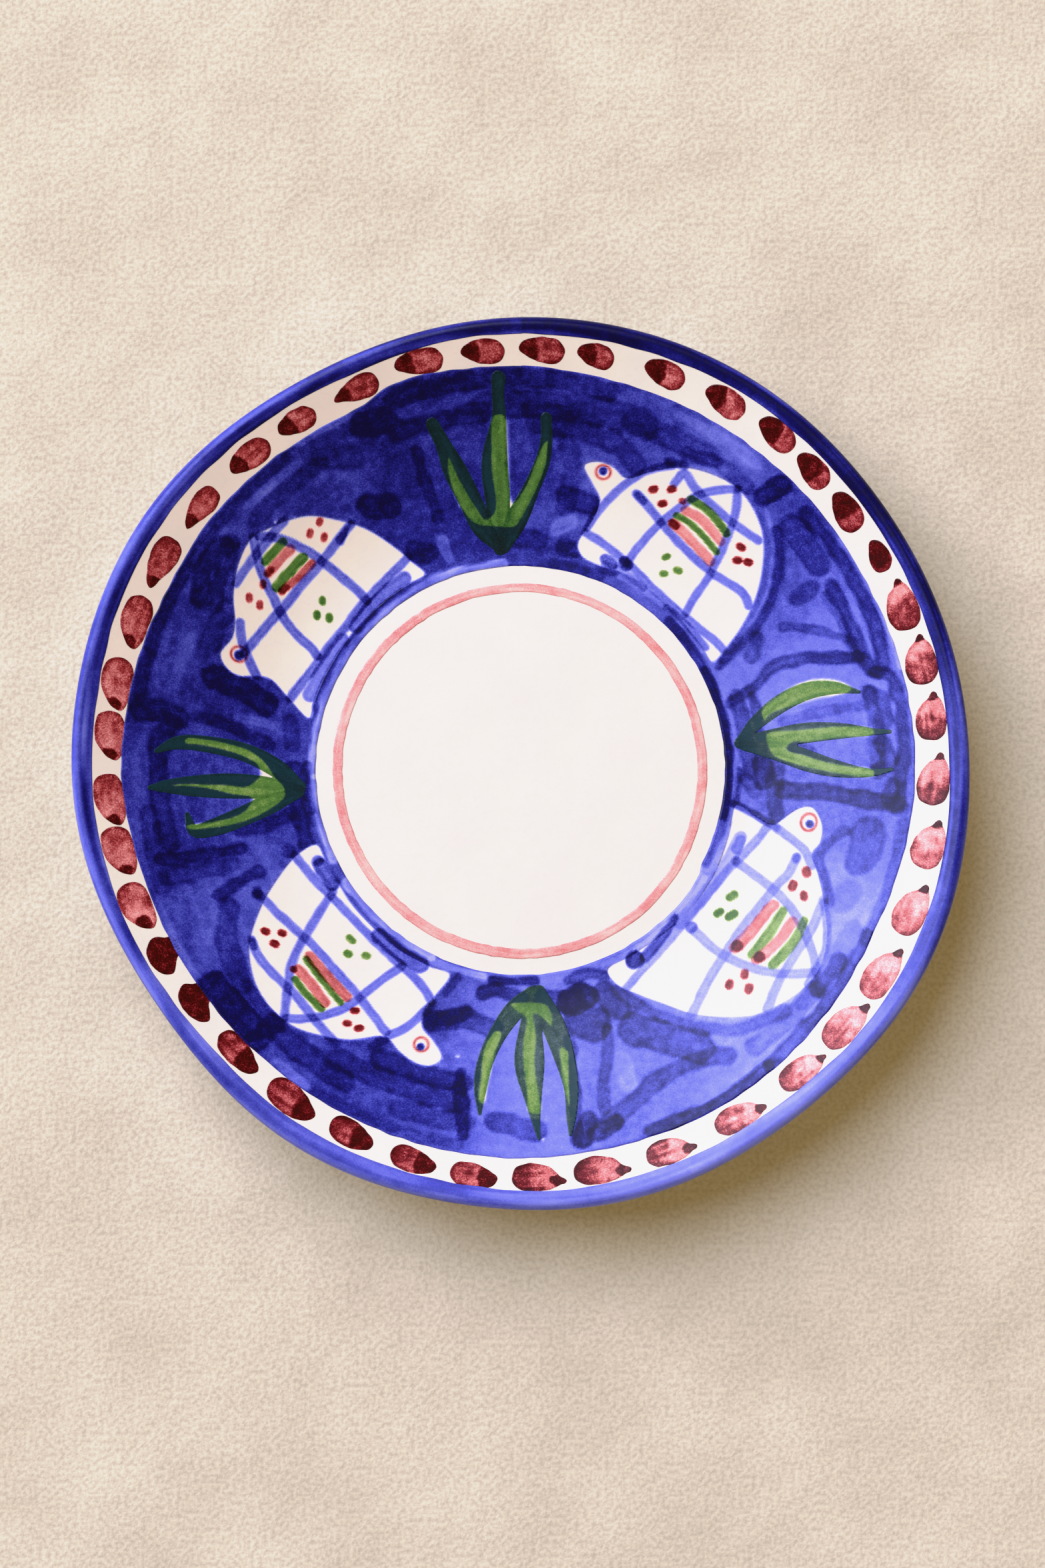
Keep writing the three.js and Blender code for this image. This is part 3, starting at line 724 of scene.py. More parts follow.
# The wash's edges and the rim band's inner edge, as (angle, radius).
WASH_OUTER_EDGE = [
    (0, 119.3), (15, 118), (30, 117.4), (45, 116.8), (60, 116.2), (75, 116.6), (90, 117.2),
    (100, 117.1), (115, 116.5), (130, 117.6), (150, 118.7), (165, 118.2), (180, 118.4), (205, 118),
    (220, 117.7), (240, 118), (255, 118.6), (265, 119.9), (270, 120.1), (278, 119.7), (290, 119),
    (296, 118.5), (305, 118.9), (320, 118.2), (335, 117.5), (340, 120), (345, 120.3), (352, 119.6),
]
WASH_INNER_EDGE = [
    (0, 60.9), (45, 60.7), (90, 61), (110, 61.3), (119, 61.6), (122, 62.5), (150, 63), (180, 63.3),
    (225, 63.2), (270, 62.7), (315, 61.8), (345, 61.2),
]
BAND_INNER_EDGE = [
    (0, 128.3), (30, 128.3), (50, 127), (75, 126.9), (90, 127), (100, 128), (115, 128.8),
    (130, 128.6), (142, 127.4), (160, 128), (175, 128.2), (190, 127.2), (210, 127), (228, 125.9),
    (245, 127.2), (260, 128.3), (280, 128.5), (292, 129.4), (305, 129.2), (320, 128), (335, 126.9),
    (350, 128.2),
]

# How thickly the rim band is painted round the plate, as (angle, amount). Partly the band's own
# uneven coat and partly a painted sheen: thinnest at the lower right, where the light's sheen
# falls.
BAND_COAT_AND_SHEEN = [
    (0, 4.2), (30, 4.2), (60, 4), (90, 3), (120, 1.7), (150, 1.1), (180, 1.5), (225, 1.9),
    (270, 2.7), (300, 3.3), (330, 3.8),
]

# The pink ring's edges, as (angle, radius).
RING_INNER_EDGE = [
    (0, 52.9), (60, 52.5), (105, 53.1), (150, 55.2), (200, 55.3), (250, 55), (300, 54.1),
]
RING_OUTER_EDGE = [
    (0, 55.5), (60, 55.3), (105, 56.1), (150, 58), (200, 58.4), (250, 57.9), (300, 57.1),
]

# How much blue the first coat laid down round the plate, as (angle, amount). Partly the wash's own
# uneven coat and partly a painted sheen: thinnest at the lower right, where the light's sheen
# falls.
WASH_COAT_AND_SHEEN = [
    (0, 2.9), (12, 2.5), (24, 2.4), (34, 1.9), (45, 2.4), (55, 2.1), (65, 1.5), (80, 1.3),
    (92, 1.6), (102, 1.6), (112, 0.9), (125, 0.8), (140, 0.8), (150, 1.3), (160, 1.6), (172, 1.3),
    (183, 1.2), (192, 1.9), (205, 2.5), (220, 2.6), (235, 2.4), (248, 2.5), (258, 2.7), (270, 2.8),
    (285, 3.1), (300, 3.1), (318, 3), (335, 3.2), (350, 3.2),
]
# Brush strokes over the first coat, and some (below 0) where it is thin, sector by sector from
# the top, clockwise. Each is (amount of paint, width, points of (angle, radius)).
WASH_STROKES = [
    # top, up to the north east tortoise
    (1.05, 5.5, [(-20, 115.8), (0, 115.8), (13, 114.8)]),
    (0.8, 5, [(1, 107), (8, 106.5)]),
    (0.9, 8.5, [(-6, 108.5), (8, 108.5), (20, 108.5)]),
    (0.8, 6.5, [(18, 108.5), (32, 108)]),
    (-0.4, 3.2, [(24, 114.6), (38, 114.2)]),
    (0.9, 6, [(2, 103), (17, 100.5), (20.5, 97)]),
    (0.6, 6, [(8, 98), (9.5, 88), (9, 80)]),
    (1.15, 6, [(8.5, 83), (15, 82)]),
    (-0.7, 5, [(8, 73.5), (11, 75.5)]),
    (1.25, 4.5, [(10.5, 67.5), (13, 67.5)]),
    (0.9, 6, [(-3, 70), (3.5, 68.5)]),
    (0.8, 3, [(8, 62.3), (22, 62.5)]),
    (1.05, 4.6, [(21.5, 65.8), (24.5, 65.8)]),
    (-0.8, 2.2, [(27, 65), (57, 64.8)]),
    # right, between the north east tortoise and the east tuft
    (0.8, 4.5, [(28, 105.8), (33, 107.8), (39, 107.5)]),
    (1.9, 6, [(42.2, 108), (43, 114.2)]),
    (1.5, 4.4, [(48.5, 113), (60, 113.4), (70, 113.2), (75, 111.6), (75.7, 109), (73, 107),
                (66, 106.8), (60, 106.8)]),
    (-0.9, 2, [(55, 116.5), (76, 116.7)]),
    (1.05, 8, [(48.5, 108), (56, 107)]),
    (1.05, 3.2, [(47.5, 104), (52, 98), (56, 91), (59, 82.5), (61, 75), (63, 67)]),
    (-0.8, 1.4, [(44, 105.6), (48.5, 100.7), (53.5, 92.8), (57.3, 84.3), (60, 75)]),
    (0.9, 5, [(58.7, 96.5), (58.7, 102)]),
    (1.6, 3.8, [(72.5, 106), (71.5, 100), (70, 94), (68.8, 87), (68.8, 80), (70.5, 76), (72, 71),
                (73, 66)]),
    (0.9, 2.8, [(69, 104), (65, 96), (62, 89)]),
    (0.9, 4.5, [(61.5, 80.5), (64.5, 76.5)]),
    (0.7, 3.4, [(61, 104.6), (72, 105)]),
    (1, 3.4, [(59.8, 75), (62, 68.5)]),
    (1.4, 4, [(75.7, 109), (77, 113), (80, 114.3), (88, 114), (97, 113)]),
    (1.15, 5, [(78.5, 106), (81, 109.6), (84, 108.5)]),
    (1.4, 5, [(87, 108), (89.5, 109.5), (91.5, 106.5)]),
    (0.7, 4.5, [(78.5, 106), (85, 106.3), (92, 106.3)]),
    (0.6, 3.5, [(80.5, 104), (80, 92), (80.5, 80)]),
    (1.1, 4, [(86.6, 82), (87.8, 87)]),
    (1.6, 3.4, [(73, 72.5), (83, 72.2)]),
    (1.15, 5, [(72, 67.8), (92, 68.5)]),
    (1.6, 6.5, [(89.8, 72.5), (93.5, 73)]),
    (1.4, 3, [(45, 62.2), (75, 62.1), (100, 62.3), (118, 62.6)]),
    (1.3, 2.8, [(62, 61.9), (104, 62.2)]),
    # right, below the east tuft
    (1.05, 5.5, [(94, 110.6), (96, 110)]),
    (1.8, 5.5, [(96.3, 112), (96.2, 104), (95.5, 95), (95.3, 86), (95.5, 79)]),
    (0.9, 2.8, [(97, 115.2), (110, 114.9), (118, 115.2)]),
    (1.7, 4.2, [(117, 115.2), (128, 115.7), (141, 116.4)]),
    (0.95, 10, [(101.5, 105.8), (106, 105)]),
    (0.4, 7, [(111.5, 105.8), (113.5, 104)]),
    (1.2, 3.2, [(102, 98.5), (105, 94.5), (107.5, 93), (111, 97), (114.5, 101)]),
    (0.5, 5, [(117, 111), (131, 110)]),
    (1.15, 5, [(90, 77), (96, 76), (101.5, 78.6)]),
    (1.15, 2, [(91, 65.5), (100, 65.3)]),
    (0.7, 5, [(93.5, 67.5), (96, 70.5)]),
    # bottom right
    (1.7, 5, [(122.5, 111.8), (128, 111.2)]),
    (0.9, 5.4, [(128, 111.2), (141, 109.6)]),
    (2, 4, [(141, 116.5), (150, 117), (161, 116.4)]),
    (1.05, 3.6, [(133.5, 108), (140, 103.6), (146, 96.3), (150, 88.8), (154, 81), (157.5, 73.5)]),
    (1.3, 10, [(148.5, 100), (152, 94), (157.5, 86)]),
    (1.1, 5.4, [(145, 107), (149, 103.5), (153, 102.6), (157.5, 103.4), (161, 106), (167.5, 111)]),
    (-0.4, 6, [(161.8, 101), (162, 94)]),
    (2.4, 6.5, [(169.8, 109), (170.8, 113.5)]),
    (1.8, 5.5, [(166, 111.5), (169, 113)]),
    (1, 3.6, [(167, 107), (166, 99), (164, 92), (162.5, 84)]),
    (1.5, 11, [(164.8, 81), (167, 79)]),
    (2.7, 8.5, [(165.2, 72.3), (168.6, 72.7)]),
    (2, 6.5, [(167.5, 72.5), (175, 71)]),
    (1.4, 7, [(158.8, 79.5), (160.5, 72.5)]),
    (1.2, 3.4, [(158.5, 68), (163, 66), (168.5, 66.4)]),
    (1.4, 3.4, [(170.6, 84), (171, 98), (171.5, 106), (172, 114)]),
    (-0.6, 2, [(122, 64.8), (158, 64.9)]),
    # bottom left
    (1.15, 6.5, [(178, 110), (184.5, 108)]),
    (1.6, 4, [(189, 112.6), (189.6, 107), (190.6, 101), (191.5, 95)]),
    (0.6, 3, [(189.5, 115.8), (211, 115.8)]),
    (0.7, 6, [(189, 109), (200, 110)]),
    (0.9, 7, [(191, 103), (200, 103.4), (212, 105)]),
    (1.05, 6.5, [(190.5, 97.5), (206, 98)]),
    (1.05, 7, [(209, 109), (222, 109.3)]),
    (-1.1, 2.6, [(213.5, 116.4), (219.5, 116)]),
    (1.05, 3.2, [(206.3, 91.8), (208, 96.5)]),
    (1.4, 6.5, [(223.4, 108), (223.4, 115.3)]),
    (1, 4, [(224, 107.5), (231, 106)]),
    (1.8, 8.5, [(225.5, 113.4), (234, 114)]),
    (1.4, 6, [(186.5, 80.5), (193, 78.5), (199.5, 82)]),
    (1.15, 5, [(193.5, 77), (199.3, 81)]),
    (1.5, 4.2, [(180, 70), (187, 68.6), (190, 70)]),
    (2.05, 2.6, [(177, 65.2), (188, 65.4)]),
    (0.9, 2.6, [(198.6, 73), (197, 66.5)]),
    (-1.2, 2.2, [(190.5, 64.8), (205, 65)]),
    # left, below the west tuft
    (-0.7, 2.2, [(236, 116.5), (248, 116.7)]),
    (0.9, 6.5, [(231.5, 107), (239, 103.5), (243.5, 98.5)]),
    (1.3, 4, [(246.6, 99), (247.3, 93), (248, 86)]),
    (0.8, 5.5, [(252, 112), (251.2, 101), (251, 92)]),
    (1.4, 4.2, [(254.8, 112), (254, 105), (253.7, 97), (253.2, 89)]),
    (0.9, 5.5, [(251, 114.2), (262, 113.2)]),
    (1.15, 4, [(256.6, 88), (257, 77), (258.8, 71)]),
    (1.5, 5.2, [(250, 69.2), (269, 69.6)]),
    (0.9, 5, [(249.8, 75.5)]),
    (1.25, 2.6, [(258, 65.4), (270, 65.4)]),
    (-1.5, 3.4, [(206, 63.7), (222, 63.7), (236, 63.7)]),
    (-1.3, 3.4, [(244, 63.8), (266, 63.4)]),
    # left, above the west tuft
    (1.1, 6, [(257, 108.5), (272, 109), (276.5, 106.5)]),
    (1.4, 7, [(277.9, 115.5), (278, 109), (277.5, 104.5)]),
    (1.05, 3.8, [(278.3, 100), (277.8, 92), (276.3, 84), (275, 77)]),
    (-0.7, 3, [(279.6, 87), (279, 77)]),
    (1.6, 7.5, [(285.7, 97), (285.3, 88), (283.3, 80)]),
    (0.8, 6, [(290, 101.3), (298, 100.8)]),
    (-0.4, 3.6, [(282, 107.4), (291, 107)]),
    (1.05, 3.4, [(280, 116.6), (300, 116.2), (322, 115.8)]),
    (-0.3, 2.6, [(282, 113.5), (298, 113.4)]),
    (1.15, 6, [(297, 109), (301, 112.3), (306, 111)]),
    (0.9, 6, [(307, 110)]),
    (0.9, 5, [(275, 70), (281, 72)]),
    (0.9, 4.5, [(297, 104.2), (302, 107.3)]),
    (0.8, 3, [(304, 107), (307, 108.4)]),
    # top left
    (-0.6, 3, [(313, 113.2), (323, 112.8)]),
    (0.7, 5, [(312, 108.8), (326, 109)]),
    (-1.1, 2.4, [(325, 117), (335, 116.2)]),
    (1.6, 7.5, [(334.3, 113), (338, 111.2)]),
    (1.05, 6, [(339, 106.8), (353, 106.8)]),
    (0.7, 7, [(326.5, 110), (331, 106)]),
    (1.4, 7.5, [(329.3, 91.5), (332.5, 88)]),
    (1.05, 3.6, [(341.3, 100), (341, 90), (341, 80)]),
    (1.05, 6, [(333.3, 73.5), (336, 70.5)]),
    (-0.9, 3.6, [(340.3, 73), (340.5, 67.5)]),
    (-1.6, 3.6, [(268, 63.2), (300, 62.7), (340, 62.1), (354, 61.8)]),
]
# Pinholes where the glaze shows, as (angle, radius).
WASH_SPECKS = [(177, 113), (192.6, 90), (314.3, 104.5)]

# ---- what is painted: the border's dabs ----

# Each is (first angle, last angle, inner radius, outer radius, shape, reach of its dark head).
DABS = [
    (-0.6, 5.8, 120.2, 127.6, "egg", 0.4), (7.5, 12.7, 120.4, 127.5, "egg", 0.52),
    (17, 23, 120.3, 127.8, "egg", 0.52), (26.2, 32.4, 120, 127.9, "egg", 0.48),
    (34.7, 40.8, 120.4, 128, "egg", 0.6), (42, 47.8, 119.2, 126.8, "egg", 0.64),
    (49.3, 55.4, 118.4, 126.4, "egg", 0.64), (57.7, 62.4, 119.8, 126, "egg", 0.84),
    (64, 71.3, 117.5, 126.9, "leaf", 0.13), (72.3, 79.3, 117.6, 126.9, "leaf", 0.14),
    (80.5, 87.2, 117.8, 126.8, "leaf", 0.17), (89, 96.3, 117.8, 127.2, "leaf", 0.15),
    (98.3, 105.2, 118.5, 128.1, "leaf", 0.17), (107.3, 114.8, 119, 128.5, "leaf", 0.16),
    (116.6, 124.7, 119.4, 128.5, "leaf", 0.15), (125.3, 133.4, 119.3, 128.4, "leaf", 0.17),
    (134.3, 141.8, 120, 127.8, "leaf", 0.19), (144.9, 152.5, 119.9, 127.7, "leaf", 0.21),
    (155.8, 162.8, 120.1, 127.8, "leaf", 0.28), (165.2, 173, 119.6, 128, "leaf", 0.27),
    (174.1, 181.5, 119.8, 128.1, "leaf", 0.3), (183.5, 190, 120.6, 128.2, "egg", 0.4),
    (192, 198.6, 119.6, 127, "egg", 0.46), (201.2, 207.9, 118.2, 126.4, "egg", 0.5),
    (210.2, 218, 117.7, 126.8, "egg", 0.42), (220.3, 227.8, 117.5, 125.3, "egg", 0.48),
    (230.2, 236.4, 116.4, 124.9, "drop", 1.1), (238.5, 244.2, 116.3, 125.9, "drop", 1.1),
    (245.5, 252.6, 118.4, 127.7, "loaf", 0.32), (253.7, 260.7, 118.8, 128.1, "loaf", 0.2),
    (260.8, 268.1, 119.3, 128.4, "loaf", 0.2), (270, 276.8, 119.3, 128.2, "loaf", 0.24),
    (277, 284.3, 119.2, 128.3, "loaf", 0.22), (286, 293.4, 119.2, 127.8, "loaf", 0.24),
    (294.8, 302.5, 119.7, 127.8, "tear", 0.24), (304.6, 311.5, 119.6, 126.6, "tear", 0.3),
    (314.7, 321.4, 119.1, 126.6, "egg", 0.36), (323.3, 329.2, 119, 126, "egg", 0.44),
    (332.3, 339.2, 119, 126.1, "tear", 0.36), (341.9, 348.8, 120.3, 127.7, "egg", 0.38),
    (351.3, 357.4, 120.2, 127.4, "egg", 0.42),
]
# Dabs that start between these angles are rose, and the others maroon.
ROSE_FROM = 63
ROSE_TO = 183

# Outlines of the dabs, each point (share along the dab, share from its inner to its outer side).
# All but the leaf run on from the brush's blunt head; a leaf starts with a small dark tip.
DAB_SHAPES = {
    "egg": [
        (0, 0.56), (0.08, 0.8), (0.28, 0.95), (0.56, 1), (0.87, 0.87), (1, 0.54), (0.95, 0.18),
        (0.83, 0.03), (0.62, 0), (0.38, 0.08), (0.15, 0.28), (0.03, 0.43),
    ],
    "leaf": [
        (0, 0.7), (0.04, 0.8), (0.11, 0.82), (0.2, 0.9), (0.38, 0.98), (0.62, 1), (0.86, 0.92),
        (0.99, 0.7), (1, 0.42), (0.92, 0.14), (0.68, 0), (0.42, 0.07), (0.22, 0.28), (0.12, 0.52),
        (0.05, 0.6),
    ],
    "drop": [
        (0, 0.58), (0.08, 0.82), (0.34, 0.99), (0.72, 1), (0.96, 0.76), (1, 0.54), (0.9, 0.28),
        (0.84, 0.06), (0.62, 0), (0.4, 0.06), (0.3, 0.25), (0.12, 0.4),
    ],
    "loaf": [
        (0, 0.24), (0.05, 0.5), (0.2, 0.74), (0.42, 0.95), (0.68, 1), (0.91, 0.9), (1, 0.6),
        (0.97, 0.26), (0.8, 0.05), (0.44, 0), (0.12, 0.08),
    ],
    "tear": [
        (0, 0.42), (0.06, 0.6), (0.25, 0.78), (0.5, 0.96), (0.76, 1), (0.95, 0.84), (1, 0.48),
        (0.93, 0.14), (0.7, 0), (0.42, 0.09), (0.18, 0.27), (0.05, 0.34),
    ],
}

# Where the middle of a shape's dark head is across it, and half the head's size across it.
HEADS = {
    "egg": (0.5, 0.6), "leaf": (0.67, 0.2), "drop": (0.5, 1.2), "loaf": (0.48, 0.24),
    "tear": (0.45, 0.36),
}

# Paint in the body of the dabs up to a number: beside the head, and at the clockwise end. The dabs
# at the lower right get the least: partly thinner paint, and partly a painted sheen where the
# light's sheen falls on the border.
DAB_LOADS = [
    (2, 1.1, 1.3), (6, 0.85, 1.15), (7, 0.85, 1.4), (8, 1.5, 1.3), (12, 0.45, 1.7), (15, 0.3, 0.85),
    (16, 0.28, 1), (18, 0.26, 1.3), (19, 0.4, 1.6), (21, 0.65, 1.9), (22, 0.75, 1.3),
    (26, 0.9, 1.7), (28, 2.9, 3), (29, 0.55, 1), (33, 0.7, 1.05), (35, 0.9, 1.3), (38, 0.85, 1.2),
    (39, 1.2, 1.4), (41, 0.9, 1.2),
]


def round_plate(table, angle):
    """Value at angles of a table of (angle, value), smooth all the way round the plate."""
    turns, values = np.array(table, float).T
    turns = np.concatenate([turns[-2:] - 360, turns, turns[:3] + 360])
    values = np.concatenate([values[-2:], values, values[:3]])
    curve = smooth_path(np.stack([turns, values], -1), steps=6)
    return np.interp(angle % 360, curve[:, 0], curve[:, 1])


PANEL_OUTLINES = {place: polar_outline(part["outline"]) for place, part in TORTOISES.items()}
BARE_OUTLINES = [polar_outline(points, 4) for part in TUFTS.values() for points in part["bare"]]


def outline_distance(x, y, outlines, reach=6):
    """Signed distance to the nearest of several outlines, exact within reach of each."""
    nearest = np.full(x.shape, float(reach))
    for outline in outlines:
        low, high = outline.min(0) - reach, outline.max(0) + reach
        near = (x > low[0]) & (x < high[0]) & (y > low[1]) & (y < high[1])
        if near.any():
            distance = polygon_distance(x[near], y[near], outline)
            nearest[near] = np.minimum(nearest[near], distance)
    return nearest


# ---- paint at any point of the front ----

LEAST_WASH = 0.45
FULL_BLUE = 4.9
PUPIL_PAINT = 3.2
DAB_HEAD_PAINT = 2.75
LEAST_DAB_PAINT = 0.1


def blue_paint(angle, radius):
    """The wash, held back from the panels, the bare places and the specks, and the line work."""
    x, y = plan(angle, radius)
    swirl_x, swirl_y = 9 * value_noise(x, y, 13, 8), 9 * value_noise(x, y, 15, 9)
    patches = layered_noise(x + swirl_x, y + swirl_y, 12, 10)
    sweeps = value_noise(angle * 0.35, radius, 1.6, 21) - 0.5
    # The first coat carries a painted sheen at the lower right, as well as its own unevenness.
    coat = round_plate(WASH_COAT_AND_SHEEN, angle)
    wash = coat * (1 + 0.55 * (patches - 0.5) + 0.16 * sweeps)
    wash = wash + brushed(x, y, WASH_STROKES, 0.5, 0.35, 0.9, seed=100)
    pooled_edge = radius > round_plate(WASH_OUTER_EDGE, angle) - 0.9
    wash = np.clip(wash + 0.2 * pooled_edge, LEAST_WASH, FULL_BLUE)
    wash = wash * smooth_step(-0.3, 0.35, outline_distance(x, y, PANEL_OUTLINES.values()))
    wash = wash * smooth_step(-0.35, 0.35, outline_distance(x, y, BARE_OUTLINES))
    for speck in WASH_SPECKS:
        spot_x, spot_y = plan(*speck)
        wash = wash * smooth_step(0.3, 0.7, np.hypot(x - spot_x, y - spot_y))
    lines = np.zeros(x.shape)
    for part in TORTOISES.values():
        lines = lines + brushed(x, y, part["lines"], 0.3, 0.35, seed=300)
        pupil_angle, pupil_radius, pupil_width = part["pupil"]
        pupil = [(PUPIL_PAINT, pupil_width, [(pupil_angle, pupil_radius)])]
        lines = lines + brushed(x, y, pupil, 0.25, 0.2)
    return wash + lines


def green_paint(angle, radius, place):
    """Grass: darker down the edges of each blade and where blades cross."""
    x, y = plan(angle, radius)
    total = np.zeros(x.shape)
    for number, blade in enumerate(TUFTS[place]["blades"]):
        path = polar_path(blade)
        distance, along, across = path_distance(x, y, path)
        cover = smooth_step(0.4, -0.2, distance)
        bristles = value_noise(across, along / 14, 0.9, 50 + number) - 0.5
        rim = np.exp(-(((distance + 0.45) / 0.5) ** 2))
        load = 1 + 0.35 * smooth_step(18, 2, along)
        total = np.maximum(total, cover * (load + 0.5 * bristles + 0.35 * rim)) + 0.12 * cover
    return TUFTS[place]["green"] * total


def dab_outline(first, last, inner, outer, shape, _reach):
    """A row of DABS as a closed outline in plan."""
    return polar_outline([
        (first + (last - first) * along, inner + (outer - inner) * across)
        for along, across in DAB_SHAPES[shape]
    ])


def dab_paint(angle, radius, number):
    """Red of one dab: a dark head, a lighter body with bristle marks, and a pooled edge."""
    first, last, inner, outer, shape, reach = DABS[number - 1]
    start, end = next(load[1:] for load in DAB_LOADS if number <= load[0])
    head_across, head_half = HEADS[shape]
    x, y = plan(angle, radius)
    along = (angle - first) / (last - first)
    across = (radius - inner) / (outer - inner)
    bristles = value_noise(across * 11, along * 2, 1, 400 + number) - 0.5
    blotches = layered_noise(x, y, 2.6, 500 + number) - 0.5
    fringe = smooth_step(0.35, 0.85, along + 0.5 * blotches + 0.25 * bristles)
    body = start + (end - start) * fringe
    edge = smooth_step(-1.3, -0.3, polygon_distance(x, y, dab_outline(*DABS[number - 1])))
    body = body * (0.92 + 0.5 * edge + 0.5 * bristles * fringe + 0.5 * blotches)
    wander = 0.5 * (layered_noise(x, y, 2, 600 + number) - 0.5)
    half = reach * 0.56
    offset = np.hypot((along - reach + half) / half, (across - head_across) / head_half)
    cover = smooth_step(1.15, 0.92, offset + wander)
    return np.maximum(body, LEAST_DAB_PAINT) * (1 - cover) + DAB_HEAD_PAINT * cover


# ---- materials ----

def linear(colour):
    """Linear colour from sRGB values of 0 to 255."""
    parts = [value / 255 for value in colour]
    return tuple(v / 12.92 if v <= 0.04045 else ((v + 0.055) / 1.055) ** 2.4 for v in parts) + (1,)


GLAZE_WHITE = (236, 232, 227)
# The thickest paint that the colours below reach.
MOST_PAINT = 5
MOST_GREEN = 3

# Colours of a paint as it gets thicker, each (amount, sRGB colour over white glaze).
BLUE_STOPS = [
    (0, GLAZE_WHITE), (0.3, (186, 191, 240)), (1, (128, 136, 235)), (2, (79, 86, 200)),
    (3, (42, 45, 150)), (4, (17, 18, 102)), (5, (8, 6, 66)),
]
# The green and the red stain what is under them, so they start from pure white.
GREEN_STOPS = [
    (0, (255, 255, 255)), (0.35, (182, 214, 142)), (1, (100, 150, 66)), (2, (46, 92, 30)),
    (3, (22, 50, 14)),
]
RED_STOPS = [
    (0, (255, 255, 255)), (0.15, (255, 220, 222)), (0.35, (250, 176, 183)), (0.6, (226, 132, 139)),
    (1, (184, 76, 86)), (1.5, (130, 38, 50)), (2.2, (100, 8, 24)), (3, (68, 0, 8)), (5, (50, 0, 4)),
]
# Green over blue goes no darker than this, for the green has a little body of its own.
GREEN_BODY_STOPS = [
    (0, (0, 0, 0)), (0.4, (14, 38, 50)), (0.9, (24, 62, 74)), (1.6, (16, 46, 54)),
    (2.5, (8, 28, 30)),
]


class Nodes:
    """A new material's node tree, with short ways to add to it."""

    def __init__(self, name):
        self.material = bpy.data.materials.new(name)
        self.material.use_nodes = True
        self.tree = self.material.node_tree
        self.shader = self.tree.nodes["Principled BSDF"]
        self.coordinates = self.tree.nodes.new("ShaderNodeTexCoord").outputs["Object"]

    def join(self, source, target):
        """Links a socket to an input, or sets the input to a plain value."""
        if isinstance(source, bpy.types.NodeSocket):
            self.tree.links.new(source, target)
        else:
            target.default_value = source

    def maths(self, operation, *values):
        node = self.tree.nodes.new("ShaderNodeMath")
        node.operation = operation
        for value, socket in zip(values, node.inputs):
            self.join(value, socket)
        return node.outputs[0]

    def noise(self, size, detail=2, coordinates=None):
        """Noise with features of a size in millimetres."""
        node = self.tree.nodes.new("ShaderNodeTexNoise")
        node.inputs["Scale"].default_value = 1 / (size * MM)
        node.inputs["Detail"].default_value = detail
        self.join(coordinates or self.coordinates, node.inputs["Vector"])
        return node.outputs["Fac"]

    def map_range(self, value, low, high, new_low, new_high):
        node = self.tree.nodes.new("ShaderNodeMapRange")
        for part, socket in zip((value, low, high, new_low, new_high), node.inputs):
            self.join(part, socket)
        return node.outputs[0]

    def attribute(self, name):
        node = self.tree.nodes.new("ShaderNodeAttribute")
        node.attribute_name = name
        return node.outputs["Fac"]

    def ramp(self, value, stops, most):
        """Colour for a value from 0 to most, from stops of (value, sRGB colour)."""
        node = self.tree.nodes.new("ShaderNodeValToRGB")
        elements = node.color_ramp.elements
        elements.remove(elements[1])
        for number, (amount, colour) in enumerate(stops):
            element = elements[0] if number == 0 else elements.new(amount / most)
            element.position = amount / most
            element.color = linear(colour)
        self.join(self.maths("DIVIDE", value, most), node.inputs[0])
        return node.outputs[0]

    def blend(self, first, second, how="MULTIPLY"):
        """Two colours mixed in full."""
        node = self.tree.nodes.new("ShaderNodeMix")
        node.data_type = "RGBA"
        node.blend_type = how
        node.inputs["Factor"].default_value = 1
        first_colour, second_colour = node.inputs[6], node.inputs[7]
        self.join(first, first_colour)
        self.join(second, second_colour)
        return node.outputs[2]

    def bump(self, height, distance, normal=None):
        """A bumped normal, as deep as distance in millimetres, on top of another one."""
        node = self.tree.nodes.new("ShaderNodeBump")
        node.inputs["Distance"].default_value = distance * MM
        self.join(height, node.inputs["Height"])
        if normal is not None:
            self.join(normal, node.inputs["Normal"])
        return node.outputs["Normal"]

    def finish(self, colour, roughness, normal, specular=0.25):
        self.join(colour, self.shader.inputs["Base Color"])
        self.join(roughness, self.shader.inputs["Roughness"])
        self.join(normal, self.shader.inputs["Normal"])
        self.shader.inputs["Specular IOR Level"].default_value = specular
        return self.material


